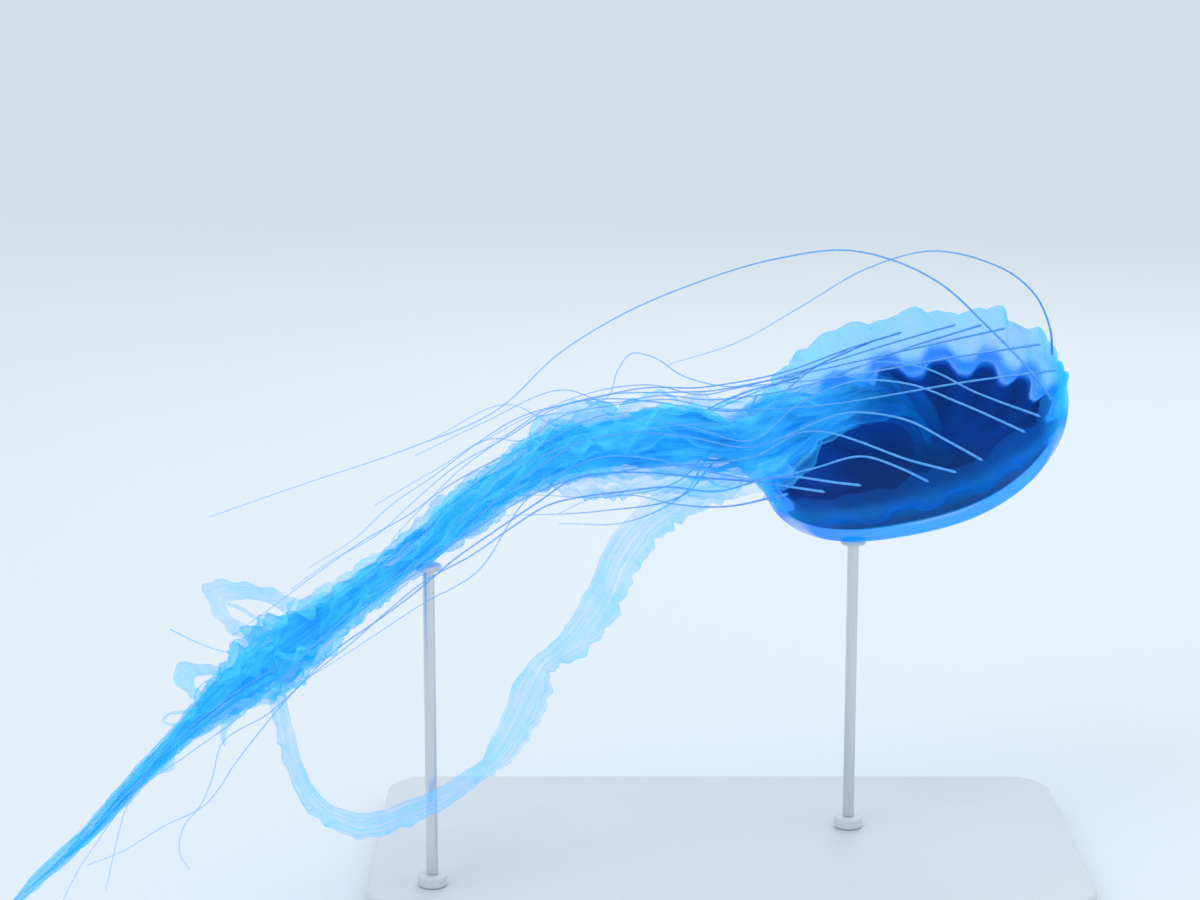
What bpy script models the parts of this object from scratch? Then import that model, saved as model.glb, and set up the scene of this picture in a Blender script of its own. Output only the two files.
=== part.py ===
"""A sea nettle jellyfish, life-size, held by a plain display stand.

Units are metres and +Z is up. The origin is the middle of the stand's underside. The bell lies tilted,
its mouth up and to the left, and the oral arms and tentacles trail away from it to the left.

The bell has a frame of its own: its X and Y span the ring that the tentacles grow from, and its Z points
from the mouth to the apex. The arms and tentacles follow the trail, one smooth route through the middle
of the bundle. A place beside the trail is a distance along it, a distance out and an orbit angle, which
is 0 above the trail, 90 degrees in front of it and 180 degrees below it.
"""

from dataclasses import dataclass
from math import cos, pi, radians

import bmesh
import bpy
import numpy as np
from mathutils import Vector

GAP = 0.0003

# The bell: its frame, then its size
BELL_CENTRE = Vector((0.139, 0.055, 0.311))
APEX_WAY = Vector((0.282, 0.319, -0.905)).normalized()
RIGHT_WAY = Vector((0.946, 0.068, 0.319)).normalized()
RING_RADIUS = 0.1075
BELL_HEIGHT = 0.064
LAPPET_LENGTH = 0.024
LAPPET_FLARE = 0.013
LAPPET_CURL = 1.2
CURL_TURN = radians(60)
LAPPETS = 32
LAPPET_TIP = radians(120)
CLEFT_DEPTH = radians(9)
APEX_THICKNESS = 0.018
RING_THICKNESS = 0.0022
LAPPET_THICKNESS = 0.0012
FIRST_CLEFT = radians(-24)

# The bell is fuller round two turns: how far round each lies, and by what share its radius grows there.
FULLNESS = ((radians(154), 0.21), (radians(230), 0.06))
FULL_WIDTH = radians(29)

# The dome's grid ends a little short of the ring, where the margin takes over.
DOME_END = radians(80)
DOME_GAP = radians(0.8)
DOME_ROWS = 7
DOME_COLUMNS = 36

# The stomach lines the bell. Its pouches reach furthest down on the far and the near side.
POUCHES = 16
STOMACH_THICKNESS = 0.0022
STOMACH_HOLE = radians(9)
STOMACH_ROWS = (0, 0.45, 0.80, 1)
POUCH_REACH_SIDE = radians(66)
POUCH_REACH_FAR = radians(79)
POUCH_FAR_SIDE = radians(245)
POUCH_NEAR_SIDE = radians(92)
POUCH_NEAR_DROP = radians(16)
POUCH_DEPTH = radians(9)

# The manubrium, the short tube from the stomach to the four oral arms: how wide it is along its length
MANUBRIUM_RADIUS = 0.012
MANUBRIUM_WALL = 0.0025
MANUBRIUM_CLEAR = 0.004
MANUBRIUM_FOLD = 0.12
MANUBRIUM_WIDTHS = ((0, 1.25), (0.4, 0.95), (0.96, 0.80))

# The trail, and how far the oral arms reach from it at each distance along it
TRAIL_ROUTE = (
    (0.148, 0.060, 0.294),
    (0.134, 0.044, 0.318),
    (0.100, 0.020, 0.333),
    (0.050, 0.000, 0.320),
    (0.000, -0.020, 0.308),
    (-0.060, -0.035, 0.314),
    (-0.110, -0.050, 0.311),
    (-0.155, -0.075, 0.293),
    (-0.205, -0.100, 0.258),
    (-0.262, -0.130, 0.221),
    (-0.315, -0.165, 0.187),
    (-0.367, -0.195, 0.147),
    (-0.416, -0.220, 0.098),
    (-0.458, -0.240, 0.061),
    (-0.486, -0.250, 0.030),
)
ARM_REACH = (
    (0.00, 0.011),
    (0.07, 0.021),
    (0.16, 0.028),
    (0.26, 0.027),
    (0.36, 0.020),
    (0.46, 0.016),
    (0.56, 0.021),
    (0.60, 0.018),
    (0.66, 0.009),
    (0.74, 0.006),
    (0.83, 0.003),
)
ARM_THICKNESS = 0.0009
ARM_KEEL = 0.0022
ARM_ROWS = 13
ARM_STARTS = (0.004, 0.27, 0.55)
ARM_ENDS = (0.79, 0.70)
ARM_RUFFLE = 0.18
ARM_RUFFLE_LENGTH = 0.085
ARM_SHARES = (0, 0.35, 0.7, 1)

# The turns of the arms' keels: four arms share the turn, and three once the looping arm has left.
FOUR_ARMS = (30, 120, 300, 210)
THREE_ARMS = (30, 150, 270, 210)
LEAVING_START = 0.18
LEAVING_LENGTH = 0.12
ARM_TWIST_START = 0.24
ARM_TWIST_RATE = radians(300)

# The oral arm that leaves the bundle and hangs in a loop
LOOP_START = 0.165
LOOP_ROUTE = (
    (0.001, -0.020, 0.285),
    (-0.022, -0.028, 0.276),
    (-0.050, -0.040, 0.264),
    (-0.074, -0.050, 0.238),
    (-0.090, -0.060, 0.205),
    (-0.106, -0.067, 0.183),
    (-0.131, -0.078, 0.163),
    (-0.143, -0.085, 0.136),
    (-0.156, -0.092, 0.113),
    (-0.181, -0.105, 0.092),
    (-0.215, -0.119, 0.077),
    (-0.250, -0.133, 0.071),
    (-0.278, -0.142, 0.087),
    (-0.292, -0.149, 0.118),
    (-0.299, -0.158, 0.156),
    (-0.302, -0.162, 0.172),
)
LOOP_WIDTH = (
    (0.00, 0.026),
    (0.05, 0.024),
    (0.11, 0.028),
    (0.18, 0.026),
    (0.215, 0.020),
    (0.245, 0.027),
    (0.28, 0.022),
    (0.31, 0.013),
    (0.34, 0.015),
    (0.39, 0.018),
    (0.45, 0.012),
    (0.54, 0.011),
)
LOOP_TURNING = (
    (0.00, 0),
    (0.06, -62),
    (0.185, -68),
    (0.36, -62),
    (0.42, -46),
    (0.45, -33),
    (0.54, -28),
)
LOOP_LENGTHS = 3
LOOP_ROWS = 16
LOOP_RUFFLE = 0.002
LOOP_RUFFLE_LENGTH = 0.052
LOOP_ACROSS = (-0.5, -0.17, 0.17, 0.5)

# The tentacles. Each is rooted on the inner side of its cleft, and one whose cleft lies where the arms
# leave the bell first passes over the tip of its lappet.
TENTACLE_ROOT_RADIUS = 0.0015
TENTACLE_TIP_RADIUS = 0.0004
TENTACLE_TAPER = 0.55
TENTACLE_STEP = 0.027
TENTACLE_STOPS = 0.035
TENTACLE_ROOT = radians(105)
TENTACLE_OVER = radians(124)
EXIT_TURN = radians(160)
EXIT_WIDTH = 0.6
TENTACLE_LEAD = 0.25
TENTACLE_SWAY = 0.0018
SWAY_RATE = 62
TENTACLE_WANDER = radians(16)
WANDER_RATE = 17
LAYER_OUT = (0.004, 0.010, 0.016)
LONGEST_IN_ONE_PIECE = 0.60

# The stand
BASE_LENGTH = 0.50
BASE_WIDTH = 0.27
BASE_HEIGHT = 0.016
BASE_CORNER = 0.030
BASE_EDGE = 0.0015
ROD_RADIUS = 0.004
COLLAR_RADIUS = 0.010
COLLAR_HEIGHT = 0.008
PAD_RADIUS = 0.009
PAD_HEIGHT = 0.004
ARM_ROD_PLACE = (-0.205, -0.100)

COLOURS = {
    "jelly": (0.62, 0.83, 0.97),
    "pouch": (0.02, 0.05, 0.22),
    "frill": (0.75, 0.90, 0.99),
    "thread": (0.55, 0.78, 0.96),
    "stand": (0.56, 0.60, 0.64),
    "steel": (0.60, 0.61, 0.63),
}


@dataclass(frozen=True)
class Tentacle:
    """One tentacle: its cleft, how it runs beside the trail, and the route it takes once free of it.

    Its layer says how far outside the oral arms it runs. Tentacles in unlike layers can cross. Its across
    points are those that it passes on its way over the bell's mouth.
    """

    cleft: int
    orbit: float = 0.0
    layer: int = 0
    follow: tuple = ()
    free: tuple = ()
    across: tuple = ()


TENTACLES = (
    Tentacle(1, 4, 2, (0.15, 0.20), (
        (-0.035, -0.040, 0.361), (-0.054, -0.045, 0.374), (-0.069, -0.048, 0.377), (-0.078, -0.052, 0.366),
        (-0.084, -0.058, 0.350), (-0.098, -0.064, 0.343), (-0.130, -0.082, 0.340), (-0.165, -0.098, 0.324))),
    Tentacle(2, free=(
        (0.230, 0.049, 0.378), (0.220, 0.044, 0.400), (0.203, 0.038, 0.417), (0.179, 0.032, 0.429),
        (0.143, 0.024, 0.437), (0.097, 0.012, 0.427), (0.049, 0.002, 0.401), (0.007, -0.004, 0.378),
        (-0.045, -0.010, 0.362))),
    Tentacle(3, 24, 0, (0.17, 0.34), (
        (-0.160, -0.085, 0.326), (-0.200, -0.098, 0.307), (-0.240, -0.112, 0.286))),
    Tentacle(5, free=(
        (0.208, -0.012, 0.358), (0.176, -0.020, 0.391), (0.139, -0.030, 0.424), (0.113, -0.031, 0.437),
        (0.080, -0.031, 0.445), (0.029, -0.030, 0.439), (-0.029, -0.030, 0.421), (-0.076, -0.040, 0.402),
        (-0.117, -0.050, 0.378), (-0.159, -0.072, 0.343), (-0.218, -0.100, 0.322), (-0.284, -0.120, 0.303),
        (-0.345, -0.150, 0.287))),
    Tentacle(6, 46, 1, (0.16, 0.42), across=(
        (0.169, -0.020, 0.345), (0.133, -0.027, 0.363), (0.102, -0.030, 0.368), (0.071, -0.034, 0.360))),
    Tentacle(7, 62, 2, (0.19, 0.50), across=(
        (0.157, -0.034, 0.340), (0.120, -0.042, 0.355), (0.085, -0.042, 0.357), (0.046, -0.050, 0.343))),
    Tentacle(9, 76, 0, (0.19, 0.66), (
        (-0.391, -0.228, 0.116), (-0.399, -0.231, 0.088), (-0.405, -0.235, 0.062)),
        across=((0.146, -0.047, 0.317), (0.120, -0.050, 0.331), (0.086, -0.046, 0.336))),
    Tentacle(10, 88, 1, (0.15, 0.64), (
        (-0.385, -0.237, 0.128), (-0.405, -0.250, 0.103), (-0.418, -0.256, 0.084), (-0.430, -0.262, 0.060))),
    Tentacle(11, 98, 2, (0.15, 0.36), (
        (-0.172, -0.122, 0.243), (-0.208, -0.142, 0.226), (-0.236, -0.155, 0.210), (-0.269, -0.172, 0.192),
        (-0.295, -0.188, 0.180)),
        across=((0.115, -0.050, 0.298), (0.091, -0.050, 0.306))),
    Tentacle(13, 124, 1, (0.17, 0.58), (
        (-0.333, -0.208, 0.150), (-0.338, -0.210, 0.131), (-0.346, -0.210, 0.112), (-0.358, -0.209, 0.096),
        (-0.361, -0.208, 0.078), (-0.355, -0.206, 0.066))),
    Tentacle(14, 129, 0, (0.18, 0.55), (
        (-0.325, -0.186, 0.134), (-0.346, -0.193, 0.106), (-0.371, -0.206, 0.096), (-0.395, -0.240, 0.090),
        (-0.414, -0.252, 0.086))),
    Tentacle(15, 146, 2, (0.19, 0.34)),
    Tentacle(17, free=(
        (-0.002, 0.018, 0.290), (-0.030, 0.002, 0.268), (-0.090, -0.008, 0.258), (-0.158, -0.018, 0.257))),
    Tentacle(18, free=(
        (-0.004, 0.040, 0.292), (-0.032, 0.022, 0.262), (-0.070, 0.010, 0.246), (-0.120, 0.004, 0.246))),
    Tentacle(19, free=(
        (-0.004, 0.062, 0.294), (-0.032, 0.048, 0.268), (-0.080, 0.038, 0.258), (-0.140, 0.026, 0.262))),
    Tentacle(21, 256, 1, (0.17, 0.46)),
    Tentacle(22, 268, 0, (0.17, 0.36)),
    Tentacle(23, 280, 2, (0.17, 0.56)),
    Tentacle(25, 292, 1, (0.17, 0.44)),
    Tentacle(26, 304, 0, (0.17, 0.30), ((-0.150, -0.030, 0.338), (-0.205, -0.048, 0.318))),
    Tentacle(27, 316, 2, (0.17, 0.50)),
    Tentacle(29, 328, 1, (0.17, 0.36)),
    Tentacle(30, 340, 0, (0.17, 0.27), (
        (-0.115, -0.048, 0.352), (-0.168, -0.070, 0.334), (-0.215, -0.088, 0.314))),
    Tentacle(31, 352, 1, (0.17, 0.52)),
)


def smooth_route(points, spacing):
    """Points at about this spacing on a smooth curve through the given ones, as an (n, 3) array."""
    way = np.array(points, float)
    gaps = np.linalg.norm(np.diff(way, axis=0), axis=1)[:, None]
    slopes = np.diff(way, axis=0) / gaps
    middle = (slopes[:-1] * gaps[1:] + slopes[1:] * gaps[:-1]) / (gaps[1:] + gaps[:-1])
    tangents = np.vstack([slopes[:1], middle, slopes[-1:]])
    t = np.linspace(0, 1, 24, endpoint=False)[None, :, None]
    fine = (
        (2 * t**3 - 3 * t**2 + 1) * way[:-1, None]
        + (t**3 - 2 * t**2 + t) * (gaps * tangents[:-1])[:, None]
        + (3 * t**2 - 2 * t**3) * way[1:, None]
        + (t**3 - t**2) * (gaps * tangents[1:])[:, None]
    )
    fine = np.vstack([fine.reshape(-1, 3), way[-1:]])
    along = np.concatenate([[0], np.cumsum(np.linalg.norm(np.diff(fine, axis=0), axis=1))])
    even = np.linspace(0, along[-1], max(3, round(along[-1] / spacing) + 1))
    return np.stack([np.interp(even, along, fine[:, axis]) for axis in range(3)], axis=1)


class Trail:
    """A smooth route with a frame that turns no more than the route does."""

    def __init__(self, points, up):
        self.points = smooth_route(points, 0.004)
        steps = np.diff(self.points, axis=0)
        lengths = np.linalg.norm(steps, axis=1)
        self.along = np.concatenate([[0], np.cumsum(lengths)])
        self.length = self.along[-1]
        ways = steps / lengths[:, None]
        self.ways = np.vstack([ways, ways[-1:]])
        up = np.array(up, float)
        self.ups = np.empty_like(self.points)
        for index, way in enumerate(self.ways):
            up = up - way * up.dot(way)
            up /= np.linalg.norm(up)
            self.ups[index] = up
        self.fronts = np.cross(self.ways, self.ups)

    def place(self, distance, out, orbit):
        """The point this far along, this far out and at this orbit angle, each a number or an array."""
        distance, out, orbit = np.broadcast_arrays(distance, out, orbit)

        def read(values):
            return np.stack([np.interp(distance, self.along, values[:, axis]) for axis in range(3)], axis=-1)

        aside = read(self.ups) * np.cos(orbit)[..., None] - read(self.fronts) * np.sin(orbit)[..., None]
        return read(self.points) + aside * out[..., None]


TRAIL = Trail(TRAIL_ROUTE, (0.6, 0.3, 0.7))


def reach_at(distance):
    """How far out the oral arms come at this distance along the trail."""
    return np.interp(distance, *zip(*ARM_REACH))


def loop_trail():
    """The looping arm's route. It starts across the middle of that arm's fin in the bundle."""
    out = np.array((0, (ARM_KEEL + reach_at(LOOP_START)) / 2))
    keel, middle = TRAIL.place(LOOP_START, out, arm_angle(3, LOOP_START))
    return Trail((middle, *LOOP_ROUTE), middle - keel)


def bell_axes():
    """The bell's own X, Y and Z, as three rows."""
    return np.array([RIGHT_WAY, APEX_WAY.cross(RIGHT_WAY), APEX_WAY])


def to_world(local):
    """Points of the bell's own frame, moved to their place."""
    return np.asarray(local) @ bell_axes() + np.array(BELL_CENTRE)


def fullness(turn):
    """How much the bell's radius grows at this turn: a rounded bump round each of its fuller places."""
    return 1 + sum(grow * np.exp(-(((turn - side) / FULL_WIDTH) ** 2)) for side, grow in FULLNESS)


def lappet_flare(turn):
    """How far out the lappets' tips lean at this turn. Those on the near right curl in."""
    return LAPPET_FLARE * (1 - LAPPET_CURL * ((1 + np.cos(turn - CURL_TURN)) / 2) ** 3)


def bell_point(polar, turn, inset):
    """A point this far inside the bell's outer face.

    The polar angle runs from 0 at the apex to 90 degrees at the tentacle ring. Past the ring it goes on
    down the lappets, whose tips lie at 120 degrees.
    """
    polar, turn, inset = np.broadcast_arrays(polar, turn, inset)
    dome = np.minimum(polar, pi / 2)
    skirt = np.maximum(polar - pi / 2, 0) / radians(30)
    radius = ((RING_RADIUS - inset) * np.sin(dome) + lappet_flare(turn) * skirt**1.4) * fullness(turn)
    height = (BELL_HEIGHT - inset) * np.cos(dome) - LAPPET_LENGTH * skirt
    return to_world(np.stack([radius * np.cos(turn), radius * np.sin(turn), height], axis=-1))


def bell_thickness(polar):
    """How thick the bell is at this polar angle: thick jelly at the apex, thin at the tentacle ring."""
    return RING_THICKNESS + (APEX_THICKNESS - RING_THICKNESS) * np.maximum(np.cos(polar), 0) ** 1.5


def material(name):
    """The material of this name, made the first time it is asked for."""
    found = bpy.data.materials.get(name)
    if found:
        return found
    made = bpy.data.materials.new(name)
    made.use_nodes = True
    shader = made.node_tree.nodes["Principled BSDF"]
    shader.inputs["Base Color"].default_value = (*COLOURS[name], 1)
    shader.inputs["Roughness"].default_value = 0.35
    shader.inputs["Metallic"].default_value = 1.0 if name == "steel" else 0.0
    made.diffuse_color = (*COLOURS[name], 1)
    return made


def add(name, data, finish, parts):
    """An object of this name for the data, in the jellyfish's collection."""
    made = bpy.data.objects.new(name, data)
    data.materials.append(material(finish))
    parts.objects.link(made)
    return made


def grid_mesh(name, grid, around, closed=False):
    """A grid of points as a mesh. Its columns can close around, and a closed one has its faces outwards."""
    rows, columns = grid.shape[:2]
    mesh = bpy.data.meshes.new(name)
    numbers = np.arange(rows * columns).reshape(rows, columns)
    if around:
        numbers = np.hstack([numbers, numbers[:, :1]])
    corners = (numbers[:-1, :-1], numbers[:-1, 1:], numbers[1:, 1:], numbers[1:, :-1])
    faces = np.stack(corners, axis=-1).reshape(-1, 4)
    mesh.from_pydata(grid.reshape(-1, 3).tolist(), [], faces.tolist())
    shaped = bmesh.new()
    shaped.from_mesh(mesh)
    bmesh.ops.remove_doubles(shaped, verts=shaped.verts, dist=1e-6)
    if closed:
        bmesh.ops.recalc_face_normals(shaped, faces=shaped.faces)
    shaped.to_mesh(mesh)
    shaped.free()
    mesh.shade_smooth()
    return mesh


def sheet(name, grid, thickness, finish, parts, around=False):
    """A grid of points as a surface, given its thickness by Solidify."""
    made = add(name, grid_mesh(name, grid, around), finish, parts)
    thick = made.modifiers.new("thickness", "SOLIDIFY")
    thick.thickness = thickness
    thick.offset = 0


def tube(name, points, radii, finish, parts):
    """A round tube along the points, closed at both ends, with its own radius at each point."""
    curve = bpy.data.curves.new(name, "CURVE")
    curve.dimensions = "3D"
    curve.bevel_depth = 1.0
    curve.bevel_resolution = 0
    curve.use_fill_caps = True
    line = curve.splines.new("POLY")
    line.points.add(len(points) - 1)
    for point, place, radius in zip(line.points, points, radii):
        point.co = (*place, 1)
        point.radius = radius
    add(name, curve, finish, parts)


def make_dome(parts):
    """The thick jelly dome: its outer face from the apex down, then its inner face back up."""
    turns = np.linspace(0, 2 * pi, DOME_COLUMNS, endpoint=False)[None, :]
    polars = np.linspace(0, DOME_END, DOME_ROWS)[:, None]
    outer = bell_point(polars, turns, 0)
    inner = bell_point(polars[::-1], turns, bell_thickness(polars[::-1]))
    grid = np.concatenate([outer, inner])
    add("bell_dome", grid_mesh("bell_dome", grid, around=True, closed=True), "jelly", parts)


def make_margin(parts):
    """The thin margin below the dome, cut by clefts into its lappets."""
    turns = np.linspace(0, 2 * pi, LAPPETS * 3, endpoint=False) + FIRST_CLEFT
    lobe = np.abs(np.sin((turns - FIRST_CLEFT) * LAPPETS / 2))
    tips = LAPPET_TIP - CLEFT_DEPTH * (1 - lobe**0.7)
    start = DOME_END + DOME_GAP
    rows = [start + (tips - start) * share for share in (0, 0.5, 1)]
    inset = RING_THICKNESS / 2
    grid = np.stack([bell_point(row, turns, inset) for row in rows])
    sheet("bell_margin", grid, LAPPET_THICKNESS, "jelly", parts, around=True)


def stomach_edge(turn):
    """The polar angle where the stomach ends at this turn: far down in a pouch, and less between two."""
    farness = ((1 + np.cos(turn - POUCH_FAR_SIDE)) / 2) ** 2
    nearness = ((1 + np.cos(turn - POUCH_NEAR_SIDE)) / 2) ** 4
    middle = POUCH_REACH_SIDE + (POUCH_REACH_FAR - POUCH_REACH_SIDE) * farness + POUCH_NEAR_DROP * nearness
    return middle + POUCH_DEPTH * np.cos(turn * POUCHES) / 2


def make_stomach(parts):
    """The stomach: a dark lining on the bell's inner face, with a pouch at each of its lobes."""
    turns = np.linspace(0, 2 * pi, POUCHES * 4, endpoint=False)
    edge = stomach_edge(turns)
    inset = STOMACH_THICKNESS / 2 + 6 * GAP
    shares = np.array(STOMACH_ROWS)[:, None]
    polars = STOMACH_HOLE + (edge - STOMACH_HOLE) * shares
    grid = bell_point(polars, turns, bell_thickness(polars) + inset)
    sheet("stomach", grid, STOMACH_THICKNESS, "pouch", parts, around=True)


def make_manubrium(parts):
    """The manubrium: a short open tube from the stomach's middle to the roots of the oral arms."""
    turns = np.linspace(0, 2 * pi, 16, endpoint=False)
    root = to_world((0, 0, BELL_HEIGHT - APEX_THICKNESS - STOMACH_THICKNESS - MANUBRIUM_CLEAR))
    end = TRAIL.points[0]
    around = np.stack([np.cos(turns), np.sin(turns)], axis=-1) @ bell_axes()[:2]
    folds = 1 + MANUBRIUM_FOLD * np.cos(4 * turns)[:, None]
    rows = [
        root + (end - root) * share + around * folds * MANUBRIUM_RADIUS * wide
        for share, wide in MANUBRIUM_WIDTHS
    ]
    sheet("manubrium", np.stack(rows), MANUBRIUM_WALL, "frill", parts, around=True)


def arm_angle(arm, distance):
    """The orbit angle of an oral arm's keel. Four arms share the turn, and three once the loop has left."""
    left = np.clip((distance - LEAVING_START) / LEAVING_LENGTH, 0, 1)
    left = left * left * (3 - 2 * left)
    twist = ARM_TWIST_RATE * np.maximum(distance - ARM_TWIST_START, 0)
    return np.radians(FOUR_ARMS[arm] + (THREE_ARMS[arm] - FOUR_ARMS[arm]) * left) + twist


def arm_ruffle(arm, distance, share):
    """How far an oral arm swings about its keel: the more, the nearer its edge."""
    return ARM_RUFFLE * share * np.sin(2 * pi * distance / ARM_RUFFLE_LENGTH + 1.7 * arm)


def arm_grid(arm, start, end):
    """An oral arm between two distances along the trail: a fin from its keel out to a ruffled edge."""
    distance = np.linspace(start, end, ARM_ROWS)[:, None]
    share = np.array(ARM_SHARES)[None, :]
    out = ARM_KEEL + (reach_at(distance) - ARM_KEEL) * share
    return TRAIL.place(distance, out, arm_angle(arm, distance) + arm_ruffle(arm, distance, share))


def make_arms(parts):
    """The three oral arms of the bundle, each in its lengths."""
    for arm, end in enumerate((TRAIL.length, *ARM_ENDS)):
        stops = (*ARM_STARTS, end)
        for number, (start, stop) in enumerate(zip(stops, stops[1:])):
            grid = arm_grid(arm, start + GAP, stop - GAP)
            sheet(f"arm_{arm + 1}_{number + 1}", grid, ARM_THICKNESS, "frill", parts)


def loop_grid(loop, start, end):
    """The looping arm between two distances along its route: a ruffled ribbon that turns to the front."""
    distance = np.linspace(start, end, LOOP_ROWS)[:, None]
    across = np.array(LOOP_ACROSS)[None, :]
    width = np.interp(distance, *zip(*LOOP_WIDTH))
    turning = np.radians(np.interp(distance, *zip(*LOOP_TURNING)))
    offset = across * width
    lift = LOOP_RUFFLE * np.sin(2 * pi * distance / LOOP_RUFFLE_LENGTH) * 2 * np.abs(across)
    return loop.place(distance, np.hypot(offset, lift), np.arctan2(lift, offset) + turning)


def make_loop_arm(parts):
    """The fourth oral arm: its root in the bundle, then the loop in its lengths."""
    sheet("arm_4_1", arm_grid(3, ARM_STARTS[0], LOOP_START - GAP), ARM_THICKNESS, "frill", parts)
    loop = loop_trail()
    stops = [loop.length * number / LOOP_LENGTHS for number in range(LOOP_LENGTHS + 1)]
    for number, (start, stop) in enumerate(zip(stops, stops[1:])):
        grid = loop_grid(loop, start + GAP, stop - GAP)
        sheet(f"arm_4_{number + 2}", grid, ARM_THICKNESS, "frill", parts)


def tentacle_route(tentacle):
    """The points that a tentacle passes: out of its cleft, beside the trail, then its free route."""
    turn = FIRST_CLEFT + tentacle.cleft * 2 * pi / LAPPETS
    inset = RING_THICKNESS + TENTACLE_ROOT_RADIUS + 5 * GAP
    route = [bell_point(TENTACLE_ROOT, turn, inset)]
    if cos(turn - EXIT_TURN) > EXIT_WIDTH:
        route.append(bell_point(TENTACLE_OVER, turn, inset))
    if tentacle.follow:
        start, end = tentacle.follow
        stops = np.linspace(start, end, max(2, round((end - start) / TENTACLE_STOPS) + 1))
        sway = TENTACLE_SWAY * np.sin(stops * SWAY_RATE + 2.1 * tentacle.cleft)
        wander = TENTACLE_WANDER * np.sin(stops * WANDER_RATE + 2.9 * tentacle.layer)
        out = reach_at(stops) + LAYER_OUT[tentacle.layer] + sway
        beside = TRAIL.place(stops, out, radians(tentacle.orbit) + wander)
        lead = [route[-1] + (beside[0] - route[-1]) * TENTACLE_LEAD]
        route += [*([np.array(point) for point in tentacle.across] or lead), *beside]
    return route + [np.array(point) for point in tentacle.free]


def make_tentacles(parts):
    """The tentacles, each tapering to its tip, the long ones in two lengths."""
    for number, tentacle in enumerate(TENTACLES, 1):
        route = tentacle_route(tentacle)
        points = np.vstack([route[:1], smooth_route(route[1:], TENTACLE_STEP)])
        shares = np.linspace(0, 1, len(points))
        radii = TENTACLE_ROOT_RADIUS + (TENTACLE_TIP_RADIUS - TENTACLE_ROOT_RADIUS) * shares**TENTACLE_TAPER
        if (len(points) - 1) * TENTACLE_STEP <= LONGEST_IN_ONE_PIECE:
            tube(f"tentacle_{number:02d}", points, radii, "thread", parts)
            continue
        middle = len(points) // 2
        step = points[middle + 1] - points[middle]
        second = points[middle:].copy()
        second[0] += step / np.linalg.norm(step) * GAP
        tube(f"tentacle_{number:02d}_root", points[: middle + 1], radii[: middle + 1], "thread", parts)
        tube(f"tentacle_{number:02d}_tip", second, radii[middle:], "thread", parts)


def cylinder(name, place, radius, bottom, top, finish, parts):
    """An upright cylinder between two heights."""
    mesh = bpy.data.meshes.new(name)
    shaped = bmesh.new()
    bmesh.ops.create_cone(
        shaped, cap_ends=True, segments=20, radius1=radius, radius2=radius, depth=top - bottom
    )
    shaped.to_mesh(mesh)
    shaped.free()
    mesh.shade_smooth()
    mesh.set_sharp_from_angle(angle=radians(40))
    made = add(name, mesh, finish, parts)
    made.location = (*place, (top + bottom) / 2)


def make_base(parts):
    """The flat base, with its underside on the floor."""
    mesh = bpy.data.meshes.new("stand_base")
    shaped = bmesh.new()
    bmesh.ops.create_cube(shaped, size=1)
    bmesh.ops.scale(shaped, vec=(BASE_LENGTH, BASE_WIDTH, BASE_HEIGHT), verts=shaped.verts)
    uprights = [edge for edge in shaped.edges if edge.verts[0].co.xy == edge.verts[1].co.xy]
    bmesh.ops.bevel(
        shaped, geom=uprights, affect="EDGES", offset=BASE_CORNER, segments=6, profile=0.5
    )
    shaped.to_mesh(mesh)
    shaped.free()
    base = add("stand_base", mesh, "stand", parts)
    base.location.z = BASE_HEIGHT / 2
    edge = base.modifiers.new("edge", "BEVEL")
    edge.width = BASE_EDGE
    edge.segments = 1
    edge.limit_method = "ANGLE"
    edge.angle_limit = radians(60)


def lowest_arm_height(place):
    """The height of the lowest oral arm over this place."""
    distances = np.linspace(0.30, 0.55, 500)[:, None]
    shares = np.linspace(0, 1, 9)[None, :]
    lowest = []
    for arm in range(3):
        out = ARM_KEEL + (reach_at(distances) - ARM_KEEL) * shares
        swing = arm_angle(arm, distances) + arm_ruffle(arm, distances, shares)
        points = TRAIL.place(distances, out, swing).reshape(-1, 3)
        near = np.linalg.norm(points[:, :2] - np.array(place), axis=1) < PAD_RADIUS
        lowest += list(points[near][:, 2])
    return min(lowest)


def lowest_bell_point():
    """The lowest point of the dome's outer face, searched at one degree steps."""
    polars = np.radians(np.arange(0, 80))[:, None]
    turns = np.radians(np.arange(0, 360))[None, :]
    points = bell_point(polars, turns, 0).reshape(-1, 3)
    return points[points[:, 2].argmin()]


def make_stand(parts):
    """The base, and the two rods that hold the bell and the bundle of arms."""
    make_base(parts)
    seat = lowest_bell_point()
    holds = {
        "bell": ((seat[0], seat[1]), seat[2] - GAP),
        "arms": (ARM_ROD_PLACE, lowest_arm_height(ARM_ROD_PLACE) - ARM_THICKNESS / 2 - 3 * GAP),
    }
    for name, (place, top) in holds.items():
        floor = BASE_HEIGHT + GAP
        pad_bottom = top - PAD_HEIGHT
        cylinder(f"stand_collar_{name}", place, COLLAR_RADIUS, floor, floor + COLLAR_HEIGHT, "stand", parts)
        cylinder(f"stand_rod_{name}", place, ROD_RADIUS, floor + COLLAR_HEIGHT + GAP, pad_bottom - GAP,
                 "steel", parts)
        cylinder(f"stand_pad_{name}", place, PAD_RADIUS, pad_bottom, top, "stand", parts)


def main():
    for old in list(bpy.data.objects):
        bpy.data.objects.remove(old)
    parts = bpy.data.collections.new("sea_nettle")
    bpy.context.scene.collection.children.link(parts)
    make_dome(parts)
    make_margin(parts)
    make_stomach(parts)
    make_manubrium(parts)
    make_arms(parts)
    make_loop_arm(parts)
    make_tentacles(parts)
    make_stand(parts)


if __name__ == "__main__":
    main()
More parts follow.
